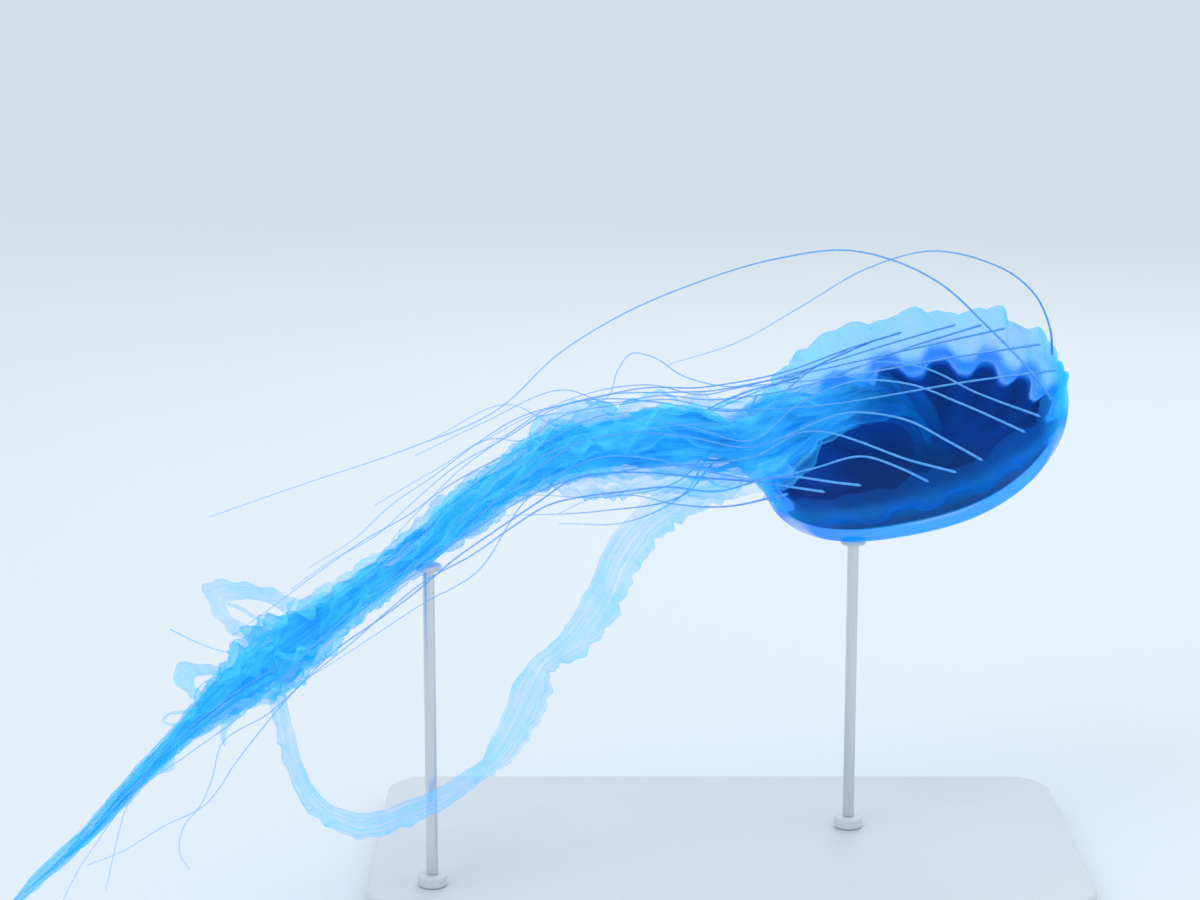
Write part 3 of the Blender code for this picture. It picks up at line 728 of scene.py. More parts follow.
@dataclass
class Skin:
    """A mesh in the making: closed grids of points, with numbers at each point for its finish.

    A number that doesn't vary along a grid's rows or columns may be given as one column, one row or one
    value.
    """

    name: str
    points: list[Array] = field(default_factory=list)
    faces: list[Array] = field(default_factory=list)
    values: dict[str, list[Array]] = field(default_factory=dict)
    count: int = 0

    def add_grid(
        self, grid: Array, rows_close: bool = False, caps: bool = False, **values: ArrayLike
    ) -> None:
        """Adds a grid whose columns close round.

        Args:
            grid: (rows, columns, 3) points.
            rows_close: joins the last row to the first.
            caps: closes a flattened tube's two ends with a strip between its two sides.
            values: numbers for its finish, by attribute name.
        """
        rows, columns = grid.shape[:2]
        numbers = self.count + np.arange(rows * columns).reshape(rows, columns)
        round_rows = np.vstack([numbers, numbers[:1]]) if rows_close else numbers
        wrapped = np.hstack([round_rows, round_rows[:, :1]])
        corners = (wrapped[:-1, :-1], wrapped[:-1, 1:], wrapped[1:, 1:], wrapped[1:, :-1])
        self.faces.append(np.stack(corners, axis=-1).reshape(-1, 4))
        for row, flip in ((numbers[0], 1), (numbers[-1], -1)) if caps else ():
            top, bottom = row[: columns // 2], row[columns // 2 :][::-1]
            strip = np.stack([top[:-1], bottom[:-1], bottom[1:], top[1:]], axis=-1)
            self.faces.append(strip[:, ::flip])
        self.points.append(grid.reshape(-1, 3))
        for key in sorted(self.values.keys() | values.keys()):
            flat = np.broadcast_to(values.get(key, 0.0), (rows, columns)).reshape(-1)
            self.values.setdefault(key, [np.zeros(self.count)]).append(flat)
        self.count += rows * columns

    def add_sheet(self, middle: Array, thickness: ArrayLike, **values: ArrayLike) -> None:
        """Adds a thin sheet with both its faces: the middle grid, plus and minus half the thickness.

        The thickness runs along the unit normal, the cross product of the grid's two slopes.

        Args:
            middle: (rows, columns, 3) points half-way through the sheet.
            thickness: its thickness at each of them.
            values: numbers for its finish, by attribute name.
        """
        shape = middle.shape[:2]
        normal = unit(np.cross(np.gradient(middle, axis=0), np.gradient(middle, axis=1)))
        half = normal * np.broadcast_to(thickness, shape)[..., None] / 2
        both = np.concatenate([middle + half, (middle - half)[:, ::-1]], axis=1)
        for key, value in values.items():
            wide = np.broadcast_to(value, shape)
            values[key] = np.concatenate([wide, wide[:, ::-1]], axis=1)
        self.add_grid(both, caps=True, **values)

    def add_thread(self, trail: Trail, radius: ArrayLike, sides: int, **values: ArrayLike) -> None:
        """Adds a thin round thread along a trail, with this radius at each of the trail's points."""
        self.add_grid(trail.place(trail.along[:, None], radius, around(sides)), **values)

    def build(self, material: bpy.types.Material, slot: Slot, *nodes: str, sharp: float = pi) -> None:
        """Makes the finished object, at the origin, riding on the body in place of its CAD nodes.

        Points that coincide are merged, which closes poles, and the faces are turned outwards.

        Args:
            material: its finish.
            slot: the record's slot that the finish stands for. It is not used.
            nodes: the CAD nodes that it replaces.
            sharp: the angle past which an edge looks sharp.
        """
        mesh = bpy.data.meshes.new(self.name)
        mesh.from_pydata(np.vstack(self.points), [], np.vstack(self.faces))
        for key, parts in self.values.items():
            attribute = mesh.attributes.new(key, "FLOAT", "POINT")
            attribute.data.foreach_set("value", np.concatenate(parts).astype(np.float32))
        shaped = bmesh.new()
        shaped.from_mesh(mesh)
        bmesh.ops.remove_doubles(shaped, verts=shaped.verts, dist=MERGE_DISTANCE)
        bmesh.ops.recalc_face_normals(shaped, faces=shaped.faces)
        shaped.to_mesh(mesh)
        shaped.free()
        mesh.shade_smooth()
        if sharp < pi:
            mesh.set_sharp_from_angle(angle=sharp)
        mesh.materials.append(material)
        made = bpy.data.objects.new(self.name, mesh)
        bpy.context.scene.collection.objects.link(made)
        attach(made, BODY)
        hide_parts(*nodes)
        LOG.info("%s: %d faces, in place of %s", self.name, len(mesh.polygons), ", ".join(nodes))


# ---------------------------------------------------------------------------------------------------
# The animal


@dataclass
class Stomach:
    """The stomach: a dark cup on the bell's inner face, with sixteen knobbed pouches round its rim."""

    pouches: int = 16
    columns: int = 512
    rows: int = 40
    reach_side: float = radians(66)
    reach_far: float = radians(79)
    far_side: float = radians(245)
    near_side: float = radians(92)
    near_drop: float = radians(20)
    depth: float = radians(9)
    thickness: float = 0.0034
    rim_start: float = 0.89
    near_rim: float = 0.065
    finish: PouchFinish = PouchFinish()

    def pouch(self, turn: Array) -> Array:
        """How far across its pouch each turn is: (1 + cos(16 turn)) / 2, 1 at its middle."""
        return toward(turn * self.pouches, 0)

    def edge(self, turn: Array) -> Array:
        """Where the stomach ends: side + (far - side) farness + drop nearness, and its pouches' depth.

        Args:
            turn: the angle round the bell's axis.

        Returns:
            The polar angle of the stomach's edge at each turn.
        """
        far = (self.reach_far - self.reach_side) * toward(turn, self.far_side, 2)
        middle = self.reach_side + far + self.near_drop * toward(turn, self.near_side, 4)
        return middle + self.depth * (smooth_step(0.0, 0.95, self.pouch(turn)) - 0.5)

    def build(self) -> None:
        """Makes the cup. Its thickness rounds off at the rim and pinches in between two pouches."""
        turn = around(self.columns)
        share = np.sin(np.linspace(0, pi / 2, self.rows))[:, None]
        polar = self.edge(turn) * share
        plump = 0.35 + 0.65 * self.pouch(turn) ** 0.7 * smooth_step(0.60, 0.95, share)
        wall = self.thickness * plump * np.sqrt(np.clip(1 - share**6, 0, 1))
        clear = BELL.thickness(polar) + 4 * GAP
        outer = BELL.point(polar, turn, clear)
        inner = BELL.point(polar, turn, clear + wall)
        folds = 0.25 * (1 - self.pouch(turn)) * smooth_step(0.3, 0.9, share)
        fade = self.rim_start + self.near_rim * toward(turn, self.near_side)
        rim = np.clip((share - fade) / (1 - fade), 0, 1) ** 1.3 + folds
        # painted shade: 1 on the rows of the cup's outer face, which the finish paints near black
        outside = (np.arange(2 * self.rows) < self.rows)[:, None]
        skin = Skin("stomach_skin")
        skin.add_grid(np.concatenate([outer, inner[::-1]]), rim=np.vstack([rim, rim[::-1]]), outside=outside)
        skin.build(self.finish.material(), Slot.POUCH, "stomach")


@dataclass
class Bell:
    """The bell: one closed skin of jelly from the apex down to the ruffled lappets and back up inside."""

    stomach: Stomach
    columns: int = 512
    dome_rows: int = 46
    skirt_rows: int = 22
    tip_thickness: float = 0.0005
    groove: float = 0.0007
    cup: float = 0.0008
    cleft: float = 0.15
    ruffle: float = 0.0042
    uneven: Waves = ((5, 0.10, 0.6), (13, 0.08, 2.1))
    slow: Waves = ((6, 0.7, 1.0), (11, 0.7, 4.0), (19, 0.5, 2.2))
    short_side: float = radians(-3)
    near_side: float = radians(95)
    corner_side: float = radians(130)
    window: tuple[float, float] = (radians(53), radians(62))
    corner: tuple[float, float] = (radians(50), radians(16))
    # where painted light lies on the jelly under the pouches: its polar angle and width
    under: tuple[float, float] = (radians(42), radians(18))
    halo_drop: float = radians(1.5)
    halo_width: float = radians(6)
    finish: JellyFinish = JellyFinish()

    def lobe(self, turn: Array) -> Array:
        """How far across its lappet each turn is: |sin(16 turn)|, 0 in a cleft and 1 at mid-lappet."""
        return np.abs(np.sin((turn - BELL.first_cleft) * BELL.lappets / 2))

    def tips(self, turn: Array) -> Array:
        """The margin's edge: 120 degrees at mid-lappet, less in a cleft and on the short side, and uneven.

        Args:
            turn: the angle round the bell's axis.

        Returns:
            The polar angle of the edge at each turn.
        """
        cleft = self.cleft * (1 - self.lobe(turn) ** 0.9) * (0.72 + 0.28 * np.sin(turn))
        cut = cleft + 0.05 + ripples(turn, self.uneven) + 0.45 * toward(turn, self.short_side, 8)
        return BELL.tip_polar - BELL.skirt_span * np.clip(cut, -0.05, 0.75)

    def flare(self, turn: Array, skirt: Array) -> Array:
        """How far the margin leaves its plan: slow waves round it, a cupped lappet, and a fine ruffle.

        Args:
            turn: the angle round the bell's axis.
            skirt: how far down the lappets, from 0 to 1.

        Returns:
            The distance outwards.
        """
        fine = 0.25 * np.sin(43 * turn + 1.5 * np.sin(5 * turn)) * skirt
        return self.ruffle * (ripples(turn, self.slow) + fine) * skirt + self.cup * (self.lobe(turn) - 0.6)

    def values(self, down: Array, turn: Array) -> dict[str, Array]:
        """The jelly's numbers for its finish.

        Args:
            down: the polar angle of each point.
            turn: the angle round the bell's axis.

        Returns:
            Its density, its streaks, the near wall before the stomach, the halo round the pouches, and the
            side under them, where painted light is laid on.
        """
        lobe = self.lobe(turn)
        ribs = 0.5 + 0.5 * np.cos((turn - BELL.first_cleft) * BELL.lappets)
        broad = 0.5 + 0.5 * np.cos(turn * 16 + 0.6 * np.sin(down * 9))
        margin = smooth_step(0.10, 0.8, BELL.skirt(down)) * (0.5 + 0.5 * lobe)
        ring = 0.40 * bump(BELL.ring_polar, 0.16, down)
        density = ring + (0.30 + 0.10 * np.sin(turn)) * margin + 1.10 * bump(0.2, 0.85, down) + 0.20
        window = smooth_step(*self.window, down) * (1 - 0.30 * bump(BELL.ring_polar, radians(10), down))
        near = smooth_step(0.15, 0.75, np.cos(turn - self.near_side)) * window
        rim = self.stomach.edge(turn) + self.halo_drop
        halo = bump(rim, self.halo_width, down) * (1 - 0.8 * near)
        corner = smooth_step(-0.3, 0.9, np.cos(turn - self.corner_side))
        return {
            "density": density,
            "streaks": smooth_step(0.35, 1.4, down) * (0.55 * ribs**3 + 0.45 * broad),
            "near": near,
            "halo": np.maximum(halo, 0.35 * corner * bump(*self.corner, down)),
            # painted light: the side under the pouches, which the finish paints a brighter lit blue
            "under": bump(*self.under, down) * smooth_step(-0.2, 0.7, np.sin(turn)),
        }

    def build(self) -> None:
        """Makes the skin: the outer face from the apex down to the edge, then the inner face back up."""
        turn = around(self.columns)
        dome = np.linspace(0, 0.5, self.dome_rows, endpoint=False)
        outer = np.concatenate([dome, np.linspace(0.5, 1, self.skirt_rows)])
        share = np.concatenate([outer, outer[::-1]])[:, None]
        inside = np.arange(len(share))[:, None] >= len(outer)
        ring = BELL.ring_polar
        skirt_down = ring + (self.tips(turn) - ring) * (share * 2 - 1).clip(0)
        down = np.where(share <= 0.5, ring * share * 2, skirt_down)
        skirt = BELL.skirt(down)
        wall = BELL.thickness(np.minimum(down, ring))
        wall = wall + (self.tip_thickness - wall) * smooth_step(0, 1, skirt)
        groove = self.groove * (1 - self.lobe(turn)) ** 3 * smooth_step(radians(45), radians(88), down)
        flare = self.flare(turn, np.minimum(skirt * 1.4, 1))
        grid = BELL.point(down, turn, np.where(inside, wall, groove), flare)
        skin = Skin("bell_skin")
        skin.add_grid(grid, **self.values(down, turn))
        skin.build(self.finish.material(), Slot.JELLY, "bell_dome", "bell_margin")


@dataclass
class Manubrium:
    """The manubrium: a short four-cornered tube from the stomach, whose lips open into the oral arms."""

    radius: float = 0.012
    wall: float = 0.0018
    columns: int = 160
    rows: int = 36
    inset: float = 0.0062
    widths: Stations = ((0, 1.30), (0.12, 1.12), (0.5, 0.92), (0.96, 0.80), (1, 0.80))
    length: float = 0.05
    density: float = 0.1
    faint: float = 0.93

    def build(self, finish: bpy.types.Material) -> None:
        """Makes the tube.

        Its radius is the plain one times a width along it, a four-fold swell 1 + 0.16 cos(4 turn) and a
        ruffle that grows towards the lips.

        Args:
            finish: the oral arms' material.
        """
        turn = around(self.columns)
        share = np.linspace(0, 1, self.rows)[:, None]
        root = BELL.to_world((0, 0, BELL.height - BELL.apex_thickness - self.inset))
        ruffle = 1 + 0.16 * np.cos(4 * turn) + 0.08 * share**2 * np.sin(24 * turn + 2)
        radius = self.radius * profile(share, self.widths) * ruffle
        out = np.stack([np.cos(turn), np.sin(turn)], axis=-1) @ BELL.axes()[:2]
        middle = root + (TRAIL.points[0] - root) * share[..., None]
        outer, inner = (middle + out * (radius - inset)[..., None] for inset in (0, self.wall))
        skin = Skin("manubrium_skin")
        skin.add_grid(
            np.concatenate([outer, inner[::-1]]),
            rows_close=True,
            along=np.vstack([share, share[::-1]]) * self.length,
            across=turn / 2 / pi,
            density=self.density,
            faint=self.faint,
        )
        skin.build(finish, Slot.FRILL, "manubrium")


@dataclass(frozen=True)
class Curtain:
    """One ruffled sheet of an oral arm: its lean from the arm's keel, its reach and its stretch."""

    lean: float
    reach: float
    start: float
    end: float
    seed: float
    clearness: float = 0.0


@dataclass(frozen=True)
class Flap:
    """A loose membrane of an oral arm, stretched between the routes of its outer and its inner edge."""

    outer: Route
    inner: Route


@dataclass(frozen=True)
class Strand:
    """A thin loose strand of an oral arm: its route and its radius."""

    route: Route
    radius: float = 0.0005


@dataclass
class OralArms:
    """The oral arms' bundle: three arms along the trail, and the root of the one that leaves in a loop."""

    reach: Stations = (
        (0.00, 0.011), (0.07, 0.021), (0.16, 0.028), (0.26, 0.027), (0.36, 0.020), (0.46, 0.016),
        (0.56, 0.021), (0.595, 0.0155), (0.625, 0.0098), (0.66, 0.0072), (0.74, 0.0052), (0.83, 0.003),
    )
    rope: Stations = (
        (0.02, 0.001), (0.06, 0.006), (0.14, 0.013), (0.28, 0.014), (0.40, 0.010), (0.48, 0.009),
        (0.555, 0.015), (0.60, 0.0095), (0.63, 0.0062), (0.68, 0.0046), (0.75, 0.0036), (0.80, 0.0012),
    )
    keel: float = 0.0022
    skin_keel: float = 0.0007
    thickness: float = 0.0007
    row_step: float = 0.0018
    columns: int = 20
    rope_sides: int = 120
    rope_step: float = 0.002
    ends: tuple[float, float, float, float] = (0.83, 0.79, 0.70, 0.165)
    solids: tuple[int, int, int, int] = (3, 3, 3, 1)
    loose_arm: int = 3
    four_turns: tuple[int, int, int, int] = (30, 120, 300, 210)
    three_turns: tuple[int, int, int, int] = (30, 150, 270, 210)
    ruffle: float = 0.18
    ruffle_length: float = 0.085
    pleat: float = 0.24
    twist_start: float = 0.24
    twist_rate: float = radians(300)
    knot: tuple[float, float] = (0.555, 0.045)
    root: float = 0.03
    facing: Place = (0.0, -1.0, 0.2)
    flap_step: float = 0.0012
    flap_columns: int = 16
    flap_seed: float = 1.3
    strand_sides: int = 8
    flaps: tuple[Flap, ...] = (
        Flap(
            ((-0.289, -0.150, 0.232), (-0.300, -0.154, 0.239), (-0.315, -0.157, 0.244),
             (-0.330, -0.159, 0.247), (-0.347, -0.162, 0.246), (-0.342, -0.166, 0.230),
             (-0.329, -0.169, 0.214), (-0.309, -0.170, 0.209)),
            ((-0.295, -0.150, 0.222), (-0.305, -0.154, 0.230), (-0.317, -0.157, 0.234),
             (-0.325, -0.159, 0.234), (-0.333, -0.162, 0.233), (-0.331, -0.166, 0.227),
             (-0.321, -0.169, 0.221), (-0.303, -0.170, 0.217)),
        ),
        Flap(
            ((-0.329, -0.176, 0.193), (-0.345, -0.178, 0.196), (-0.358, -0.180, 0.198),
             (-0.365, -0.182, 0.196), (-0.364, -0.184, 0.187), (-0.357, -0.186, 0.179),
             (-0.348, -0.189, 0.173)),
            ((-0.329, -0.176, 0.186), (-0.343, -0.178, 0.189), (-0.349, -0.180, 0.189),
             (-0.352, -0.182, 0.188), (-0.352, -0.184, 0.185), (-0.348, -0.186, 0.181),
             (-0.342, -0.189, 0.176)),
        ),
        Flap(
            ((-0.347, -0.196, 0.160), (-0.354, -0.198, 0.153), (-0.360, -0.200, 0.147),
             (-0.364, -0.202, 0.139), (-0.364, -0.204, 0.132), (-0.372, -0.206, 0.132),
             (-0.381, -0.209, 0.130)),
            ((-0.356, -0.196, 0.163), (-0.364, -0.198, 0.154), (-0.370, -0.200, 0.147),
             (-0.375, -0.202, 0.141), (-0.376, -0.204, 0.138), (-0.379, -0.206, 0.135),
             (-0.383, -0.209, 0.132)),
        ),
        Flap(
            ((-0.324, -0.188, 0.168), (-0.333, -0.190, 0.162), (-0.335, -0.192, 0.155),
             (-0.333, -0.194, 0.147)),
            ((-0.322, -0.188, 0.164), (-0.328, -0.190, 0.159), (-0.331, -0.192, 0.153),
             (-0.332, -0.194, 0.146)),
        ),
    )
    strands: tuple[Strand, ...] = (
        Strand(
            ((-0.333, -0.160, 0.232), (-0.325, -0.162, 0.230), (-0.314, -0.165, 0.224),
             (-0.300, -0.166, 0.217)),
            0.0012,
        ),
        Strand(
            ((-0.329, -0.172, 0.202), (-0.339, -0.174, 0.205), (-0.352, -0.176, 0.211),
             (-0.368, -0.178, 0.220)),
        ),
        Strand(
            ((-0.334, -0.180, 0.190), (-0.346, -0.183, 0.185), (-0.351, -0.185, 0.179),
             (-0.351, -0.187, 0.172), (-0.346, -0.188, 0.166)),
        ),
        Strand(
            ((-0.346, -0.188, 0.170), (-0.359, -0.191, 0.168), (-0.369, -0.192, 0.166),
             (-0.371, -0.194, 0.163), (-0.367, -0.195, 0.161), (-0.352, -0.196, 0.164)),
            0.0009,
        ),
    )
    finish: FrillFinish = FrillFinish()

    def reach_at(self, distance: ArrayLike) -> Array:
        """How far out the oral arms come at this distance along the trail."""
        return profile(distance, self.reach)

    def calm(self, distance: Array) -> Array:
        """How ruffled the membranes are: less near the bell, where they are stretched smooth."""
        return 0.35 + 0.65 * smooth_step(0.16, 0.36, distance)

    def faintness(self, distance: Array) -> Array:
        """How much clearer than elsewhere the membranes are, near their roots inside the bell."""
        root = 0.42 * (1 - smooth_step(0.05, 0.13, distance))
        return root + 0.32 * (1 - smooth_step(0.12, 0.36, distance))

    def angle(self, arm: int, distance: ArrayLike) -> Array:
        """The orbit angle of an arm's keel. Four arms share the turn, and three once the loop has left.

        Args:
            arm: the arm's number, from 0.
            distance: how far along the trail.

        Returns:
            The angle at each distance, which winds on past the twist's start.
        """
        together = smooth_step(0.18, 0.30, distance)
        four = self.four_turns[arm]
        three = self.three_turns[arm]
        twist = self.twist_rate * np.maximum(np.asarray(distance) - self.twist_start, 0)
        return np.radians(four + (three - four) * together) + twist

    def swing(self, arm: int, distance: Array, share: Array, seed: float) -> Array:
        """How far a curtain swings about its keel.

        Pleats, sin(2 pi 1.7 share + drift), run along the arm. Ruffles are sines along it: the shorter a
        sine's wave, the more it keeps to the edge, and each lags towards the edge, so that they stream.

        Args:
            arm: the arm's number, from 0.
            distance: how far along the trail.
            share: how far from the keel to the edge.
            seed: shifts the curtain's waves.

        Returns:
            The angle in radians.
        """
        drift = 2.4 * wander(distance, 0.23, seed) + 2 * pi * distance / 0.40
        slip = 0.9 * wander(distance, 0.13, seed)
        knot = bump(*self.knot, distance)
        calm = self.calm(distance)
        short = wave(distance - 0.050 * share, 0.047, 2 * seed + slip)
        shorter = wave(distance - 0.030 * share, 0.0187, 3 * seed + 3 * slip)
        return (
            self.ruffle * share * wave(distance, self.ruffle_length, 1.7 * arm)
            + self.pleat * np.sin(2 * pi * 1.7 * share + drift) * smooth_step(0, 0.4, share)
            + (0.13 * calm + 0.22 * knot) * share**2 * short
            + (0.08 * calm + 0.18 * knot) * share**3 * shorter
        )

    def outline(self, distance: Array, seed: float) -> Array:
        """A curtain's reach as a share of its plan: slow waves, and rounded lobes with notches between.

        Args:
            distance: how far along the trail.
            seed: shifts the curtain's waves.

        Returns:
            The share at each distance.
        """
        lobes = np.abs(wave(distance + 0.006 * wander(distance, 0.09, seed), 0.041, seed))
        small = np.abs(wave(distance, 0.0151, 2 * seed))
        uneven = 0.16 * (lobes - 0.6) + 0.07 * (small - 0.6)
        return 0.94 + 0.12 * wander(distance, 0.083, seed) + uneven * self.calm(distance)

    def curtain(self, skin: Skin, arm: int, sheet: Curtain) -> None:
        """Adds one curtain, from the keel out to a ruffled, uneven edge.

        Args:
            skin: the arm's skin.
            arm: the arm's number, from 0.
            sheet: the curtain.
        """
        rows = round((sheet.end - sheet.start) / self.row_step)
        distance = np.linspace(sheet.start, sheet.end, rows)[:, None]
        share = np.linspace(0, 1, self.columns)[None, :]
        opening = smooth_step(0, 0.05, distance - sheet.start) if sheet.start > self.root else 1.0
        closing = (smooth_step(0, 0.03, sheet.end - distance) * 0.9 + 0.1) * (0.1 + 0.9 * opening)
        knot = bump(*self.knot, distance)
        reach = self.reach_at(distance) * sheet.reach * self.outline(distance, sheet.seed) * closing
        out = self.skin_keel + (reach * (1 + 0.40 * knot) - self.skin_keel) * share
        orbit = self.angle(arm, distance) + sheet.lean * share**0.6
        orbit = orbit + self.swing(arm, distance, share, sheet.seed)
        inner = 0.60 * (1 - smooth_step(0.0, 0.60, share)) + 0.22 * smooth_step(0.93, 1.0, share)
        skin.add_sheet(
            TRAIL.place(distance, out, orbit),
            self.thickness * (1 - 0.45 * share) + 0.0016 * (1 - smooth_step(0, 0.30, share)) * closing,
            along=distance,
            across=share + sheet.seed,
            density=inner + 0.85 * knot + 0.35 * smooth_step(0.62, 0.74, distance) - sheet.clearness,
            faint=self.faintness(distance),
        )

    def curtains(self, arm: int) -> tuple[Curtain, ...]:
        """An arm's curtains: the one on its fin, one each side of it, and a wide clear veil near the bell.

        Args:
            arm: the arm's number, from 0. The one that leaves in a loop has no veil.

        Returns:
            The curtains.
        """
        end = self.ends[arm]
        sheets = (
            Curtain(0.0, 1.0, 0.004, end, 1.0 + arm),
            Curtain(0.62, 0.90, 0.050, end * 0.93, 2.3 + arm, 0.04),
            Curtain(-0.64, 0.92, 0.060, end * 0.90, 3.1 + arm, 0.04),
            Curtain(0.25, 1.55, 0.10, 0.34, 4.7 + arm, 0.12),
        )
        return sheets[:3] if arm == self.loose_arm else sheets

    def core(self, skin: Skin) -> None:
        """Adds the bundle's core: the arms' gathered inner folds, as one fluted rope along the trail.

        Its radius is the rope's times 1 + 0.20 cos(5 turn + drift) + 0.10 cos(13 turn - 1.4 drift), so
        that the flutes wind slowly along it.

        Args:
            skin: the skin that it is added to.
        """
        start, end = self.rope[0][0], self.rope[-1][0]
        distance = np.linspace(start, end, round((end - start) / self.rope_step))[:, None]
        turn = around(self.rope_sides)
        drift = 2 * pi * distance / 0.31 + 1.2 * wander(distance, 0.17, 2.0)
        flutes = 1 + 0.20 * np.cos(5 * turn + drift) + 0.10 * np.cos(13 * turn - 1.4 * drift)
        radius = profile(distance, self.rope) * flutes * (1 + 0.10 * wander(distance, 0.071, 4.0))
        closed = np.sqrt(np.clip(1 - (2 * (distance - start) / (end - start) - 1) ** 40, 0, 1))
        density = 0.25 + 0.30 * smooth_step(0.10, 0.25, distance) + 0.60 * bump(*self.knot, distance)
        grid = TRAIL.place(distance, radius * closed, turn)
        faint = self.faintness(distance)
        skin.add_grid(grid, along=distance, across=turn / 2, density=density, faint=faint)

    def flap(self, skin: Skin, one: Flap, seed: float) -> None:
        """Adds a loose membrane: the straight lines between its two edges, waved towards the front.

        Args:
            skin: the arm's skin.
            one: the membrane.
            seed: shifts its waves.
        """
        outer = smooth_route(one.outer, self.flap_step)
        inner = smooth_route(one.inner, self.flap_step)
        ends = (np.linspace(0, 1, len(edge)) for edge in (outer, inner))
        inner = between(*ends, inner)
        down = np.linspace(0, 1, self.flap_columns)[None, :]
        distance = self.flap_step * np.arange(len(outer))[:, None]
        wide = 1 + 0.09 * wave(distance, 0.0167, seed) * (1 - down)
        middle = inner[:, None] + (outer - inner)[:, None] * ((1 - down) * wide)[..., None]
        fine = 0.0007 * wave(distance - 0.004 * down, 0.0087, seed) * (1 - down)
        lift = 0.0012 * wave(distance, 0.027, seed) + fine
        skin.add_sheet(
            middle + lift[..., None] * np.array(self.facing),
            self.thickness * (0.7 + 0.5 * down),
            along=distance,
            across=down * 2 + seed,
            density=0.50 + 0.40 * (1 - smooth_step(0.0, 0.25, down)) + 0.30 * smooth_step(0.9, 1.0, down),
        )

    def strand(self, skin: Skin, one: Strand) -> None:
        """Adds a thin round strand along its route, with rounded ends.

        Args:
            skin: the arm's skin.
            one: the strand.
        """
        trail = Trail(one.route, THREAD_UP, self.flap_step)
        distance = trail.along[:, None]
        radius = one.radius * (1 + 0.25 * wander(distance, 0.009, 2.0)) * trail.rounding(2 * one.radius)
        across = around(self.strand_sides) / 6
        skin.add_thread(trail, radius, self.strand_sides, along=distance, across=across, density=0.9)

    def build(self) -> bpy.types.Material:
        """Makes the four skins. The core goes with the arm that leaves in a loop.

        Returns:
            Their material.
        """
        material = self.finish.material()
        for arm, solids in enumerate(self.solids):
            skin = Skin(f"oral_arm_{arm + 1}_skin")
            for sheet in self.curtains(arm):
                self.curtain(skin, arm, sheet)
            if arm == self.loose_arm:
                self.core(skin)
            self.flap(skin, self.flaps[arm], self.flap_seed + arm)
            self.strand(skin, self.strands[arm])
            skin.build(material, Slot.FRILL, *(f"arm_{arm + 1}_{number + 1}" for number in range(solids)))
        return material


@dataclass
class LoopArm:
    """The oral arm that leaves the bundle and hangs in a loop: a folded ribbon with a ruffled edge."""

    arms: OralArms
    start: float = 0.165
    route: Route = (
        (0.001, -0.020, 0.285), (-0.022, -0.028, 0.276), (-0.050, -0.040, 0.264), (-0.074, -0.050, 0.238),
        (-0.090, -0.060, 0.205), (-0.106, -0.067, 0.183), (-0.131, -0.078, 0.163), (-0.143, -0.085, 0.136),
        (-0.156, -0.092, 0.113), (-0.181, -0.105, 0.092), (-0.215, -0.119, 0.077), (-0.250, -0.133, 0.071),
        (-0.278, -0.142, 0.087), (-0.292, -0.149, 0.118), (-0.299, -0.158, 0.156), (-0.302, -0.162, 0.172),
    )
    width: Stations = (
        (0.00, 0.026), (0.05, 0.024), (0.11, 0.028), (0.18, 0.026), (0.215, 0.020), (0.245, 0.027),
        (0.28, 0.022), (0.31, 0.013), (0.34, 0.015), (0.39, 0.018), (0.45, 0.012), (0.54, 0.011),
    )
    turning: Stations = (
        (0.00, 0.0), (0.06, -62.0), (0.185, -68.0), (0.215, -18.0), (0.245, -64.0), (0.285, -70.0),
        (0.300, -30.0), (0.33, -58.0), (0.36, -62.0), (0.42, -46.0), (0.45, -33.0), (0.54, -28.0),
    )
    thickness: float = 0.0008
    row_step: float = 0.0011
    columns: int = 30
    ruffle: float = 0.0016
    streak_seed: float = 7

    def trail(self) -> Trail:
        """The ribbon's route.

        Returns:
            The route, which starts across the middle of the ribbon's fin in the bundle.
        """
        out = np.array((0, (self.arms.keel + float(self.arms.reach_at(self.start))) / 2))
        keel, middle = TRAIL.place(self.start, out, self.arms.angle(self.arms.loose_arm, self.start))
        return Trail((middle, *self.route), middle - keel)

    def build(self, material: bpy.types.Material) -> None:
        """Makes the ribbon. Its thick keel runs near one edge and its ruffles grow towards the other.

        Args:
            material: the oral arms' material.
        """
        trail = self.trail()
        distance = np.linspace(0, trail.length, round(trail.length / self.row_step))[:, None]
        across = np.linspace(-0.5, 0.5, self.columns)[None, :]
        free = across + 0.5
        lobes = np.abs(wave(distance + 0.004 * wander(distance, 0.05, 3.0), 0.036, 1.0))
        notches = free * (0.20 * lobes + 0.06 * wave(distance, 0.0107))
        uneven = 0.92 + 0.08 * wander(distance, 0.040, 1.0) + notches
        offset = across * profile(distance, self.width) * uneven
        slips = (1.5 * wander(distance, 0.09, 3.0), 2.5 * wander(distance, 0.07, 5.0))
        lift = (
            self.ruffle * wave(distance, 0.052) * 2 * np.abs(across)
            + 0.0022 * free**2 * wave(distance - 0.010 * free, 0.021, slips[0])
            + 0.0010 * free**4 * wave(distance - 0.006 * free, 0.0083, slips[1])
        )
        turning = np.radians(profile(distance, self.turning))
        keel = bump(-0.36, 0.09, across)
        end = 0.20 * smooth_step(0.42, 0.5, distance)
        skin = Skin("loop_arm_skin")
        skin.add_sheet(
            trail.place(distance, np.hypot(offset, lift), np.arctan2(lift, offset) + turning),
            self.thickness * (0.45 + 1.8 * keel) * np.clip(1.2 - free**4, 0.2, 1),
            along=distance,
            across=free + self.streak_seed,
            density=0.80 * keel + 0.30 * smooth_step(0.90, 1.0, free) + end + 0.52,
        )
        skin.build(material, Slot.FRILL, "arm_4_2", "arm_4_3", "arm_4_4")


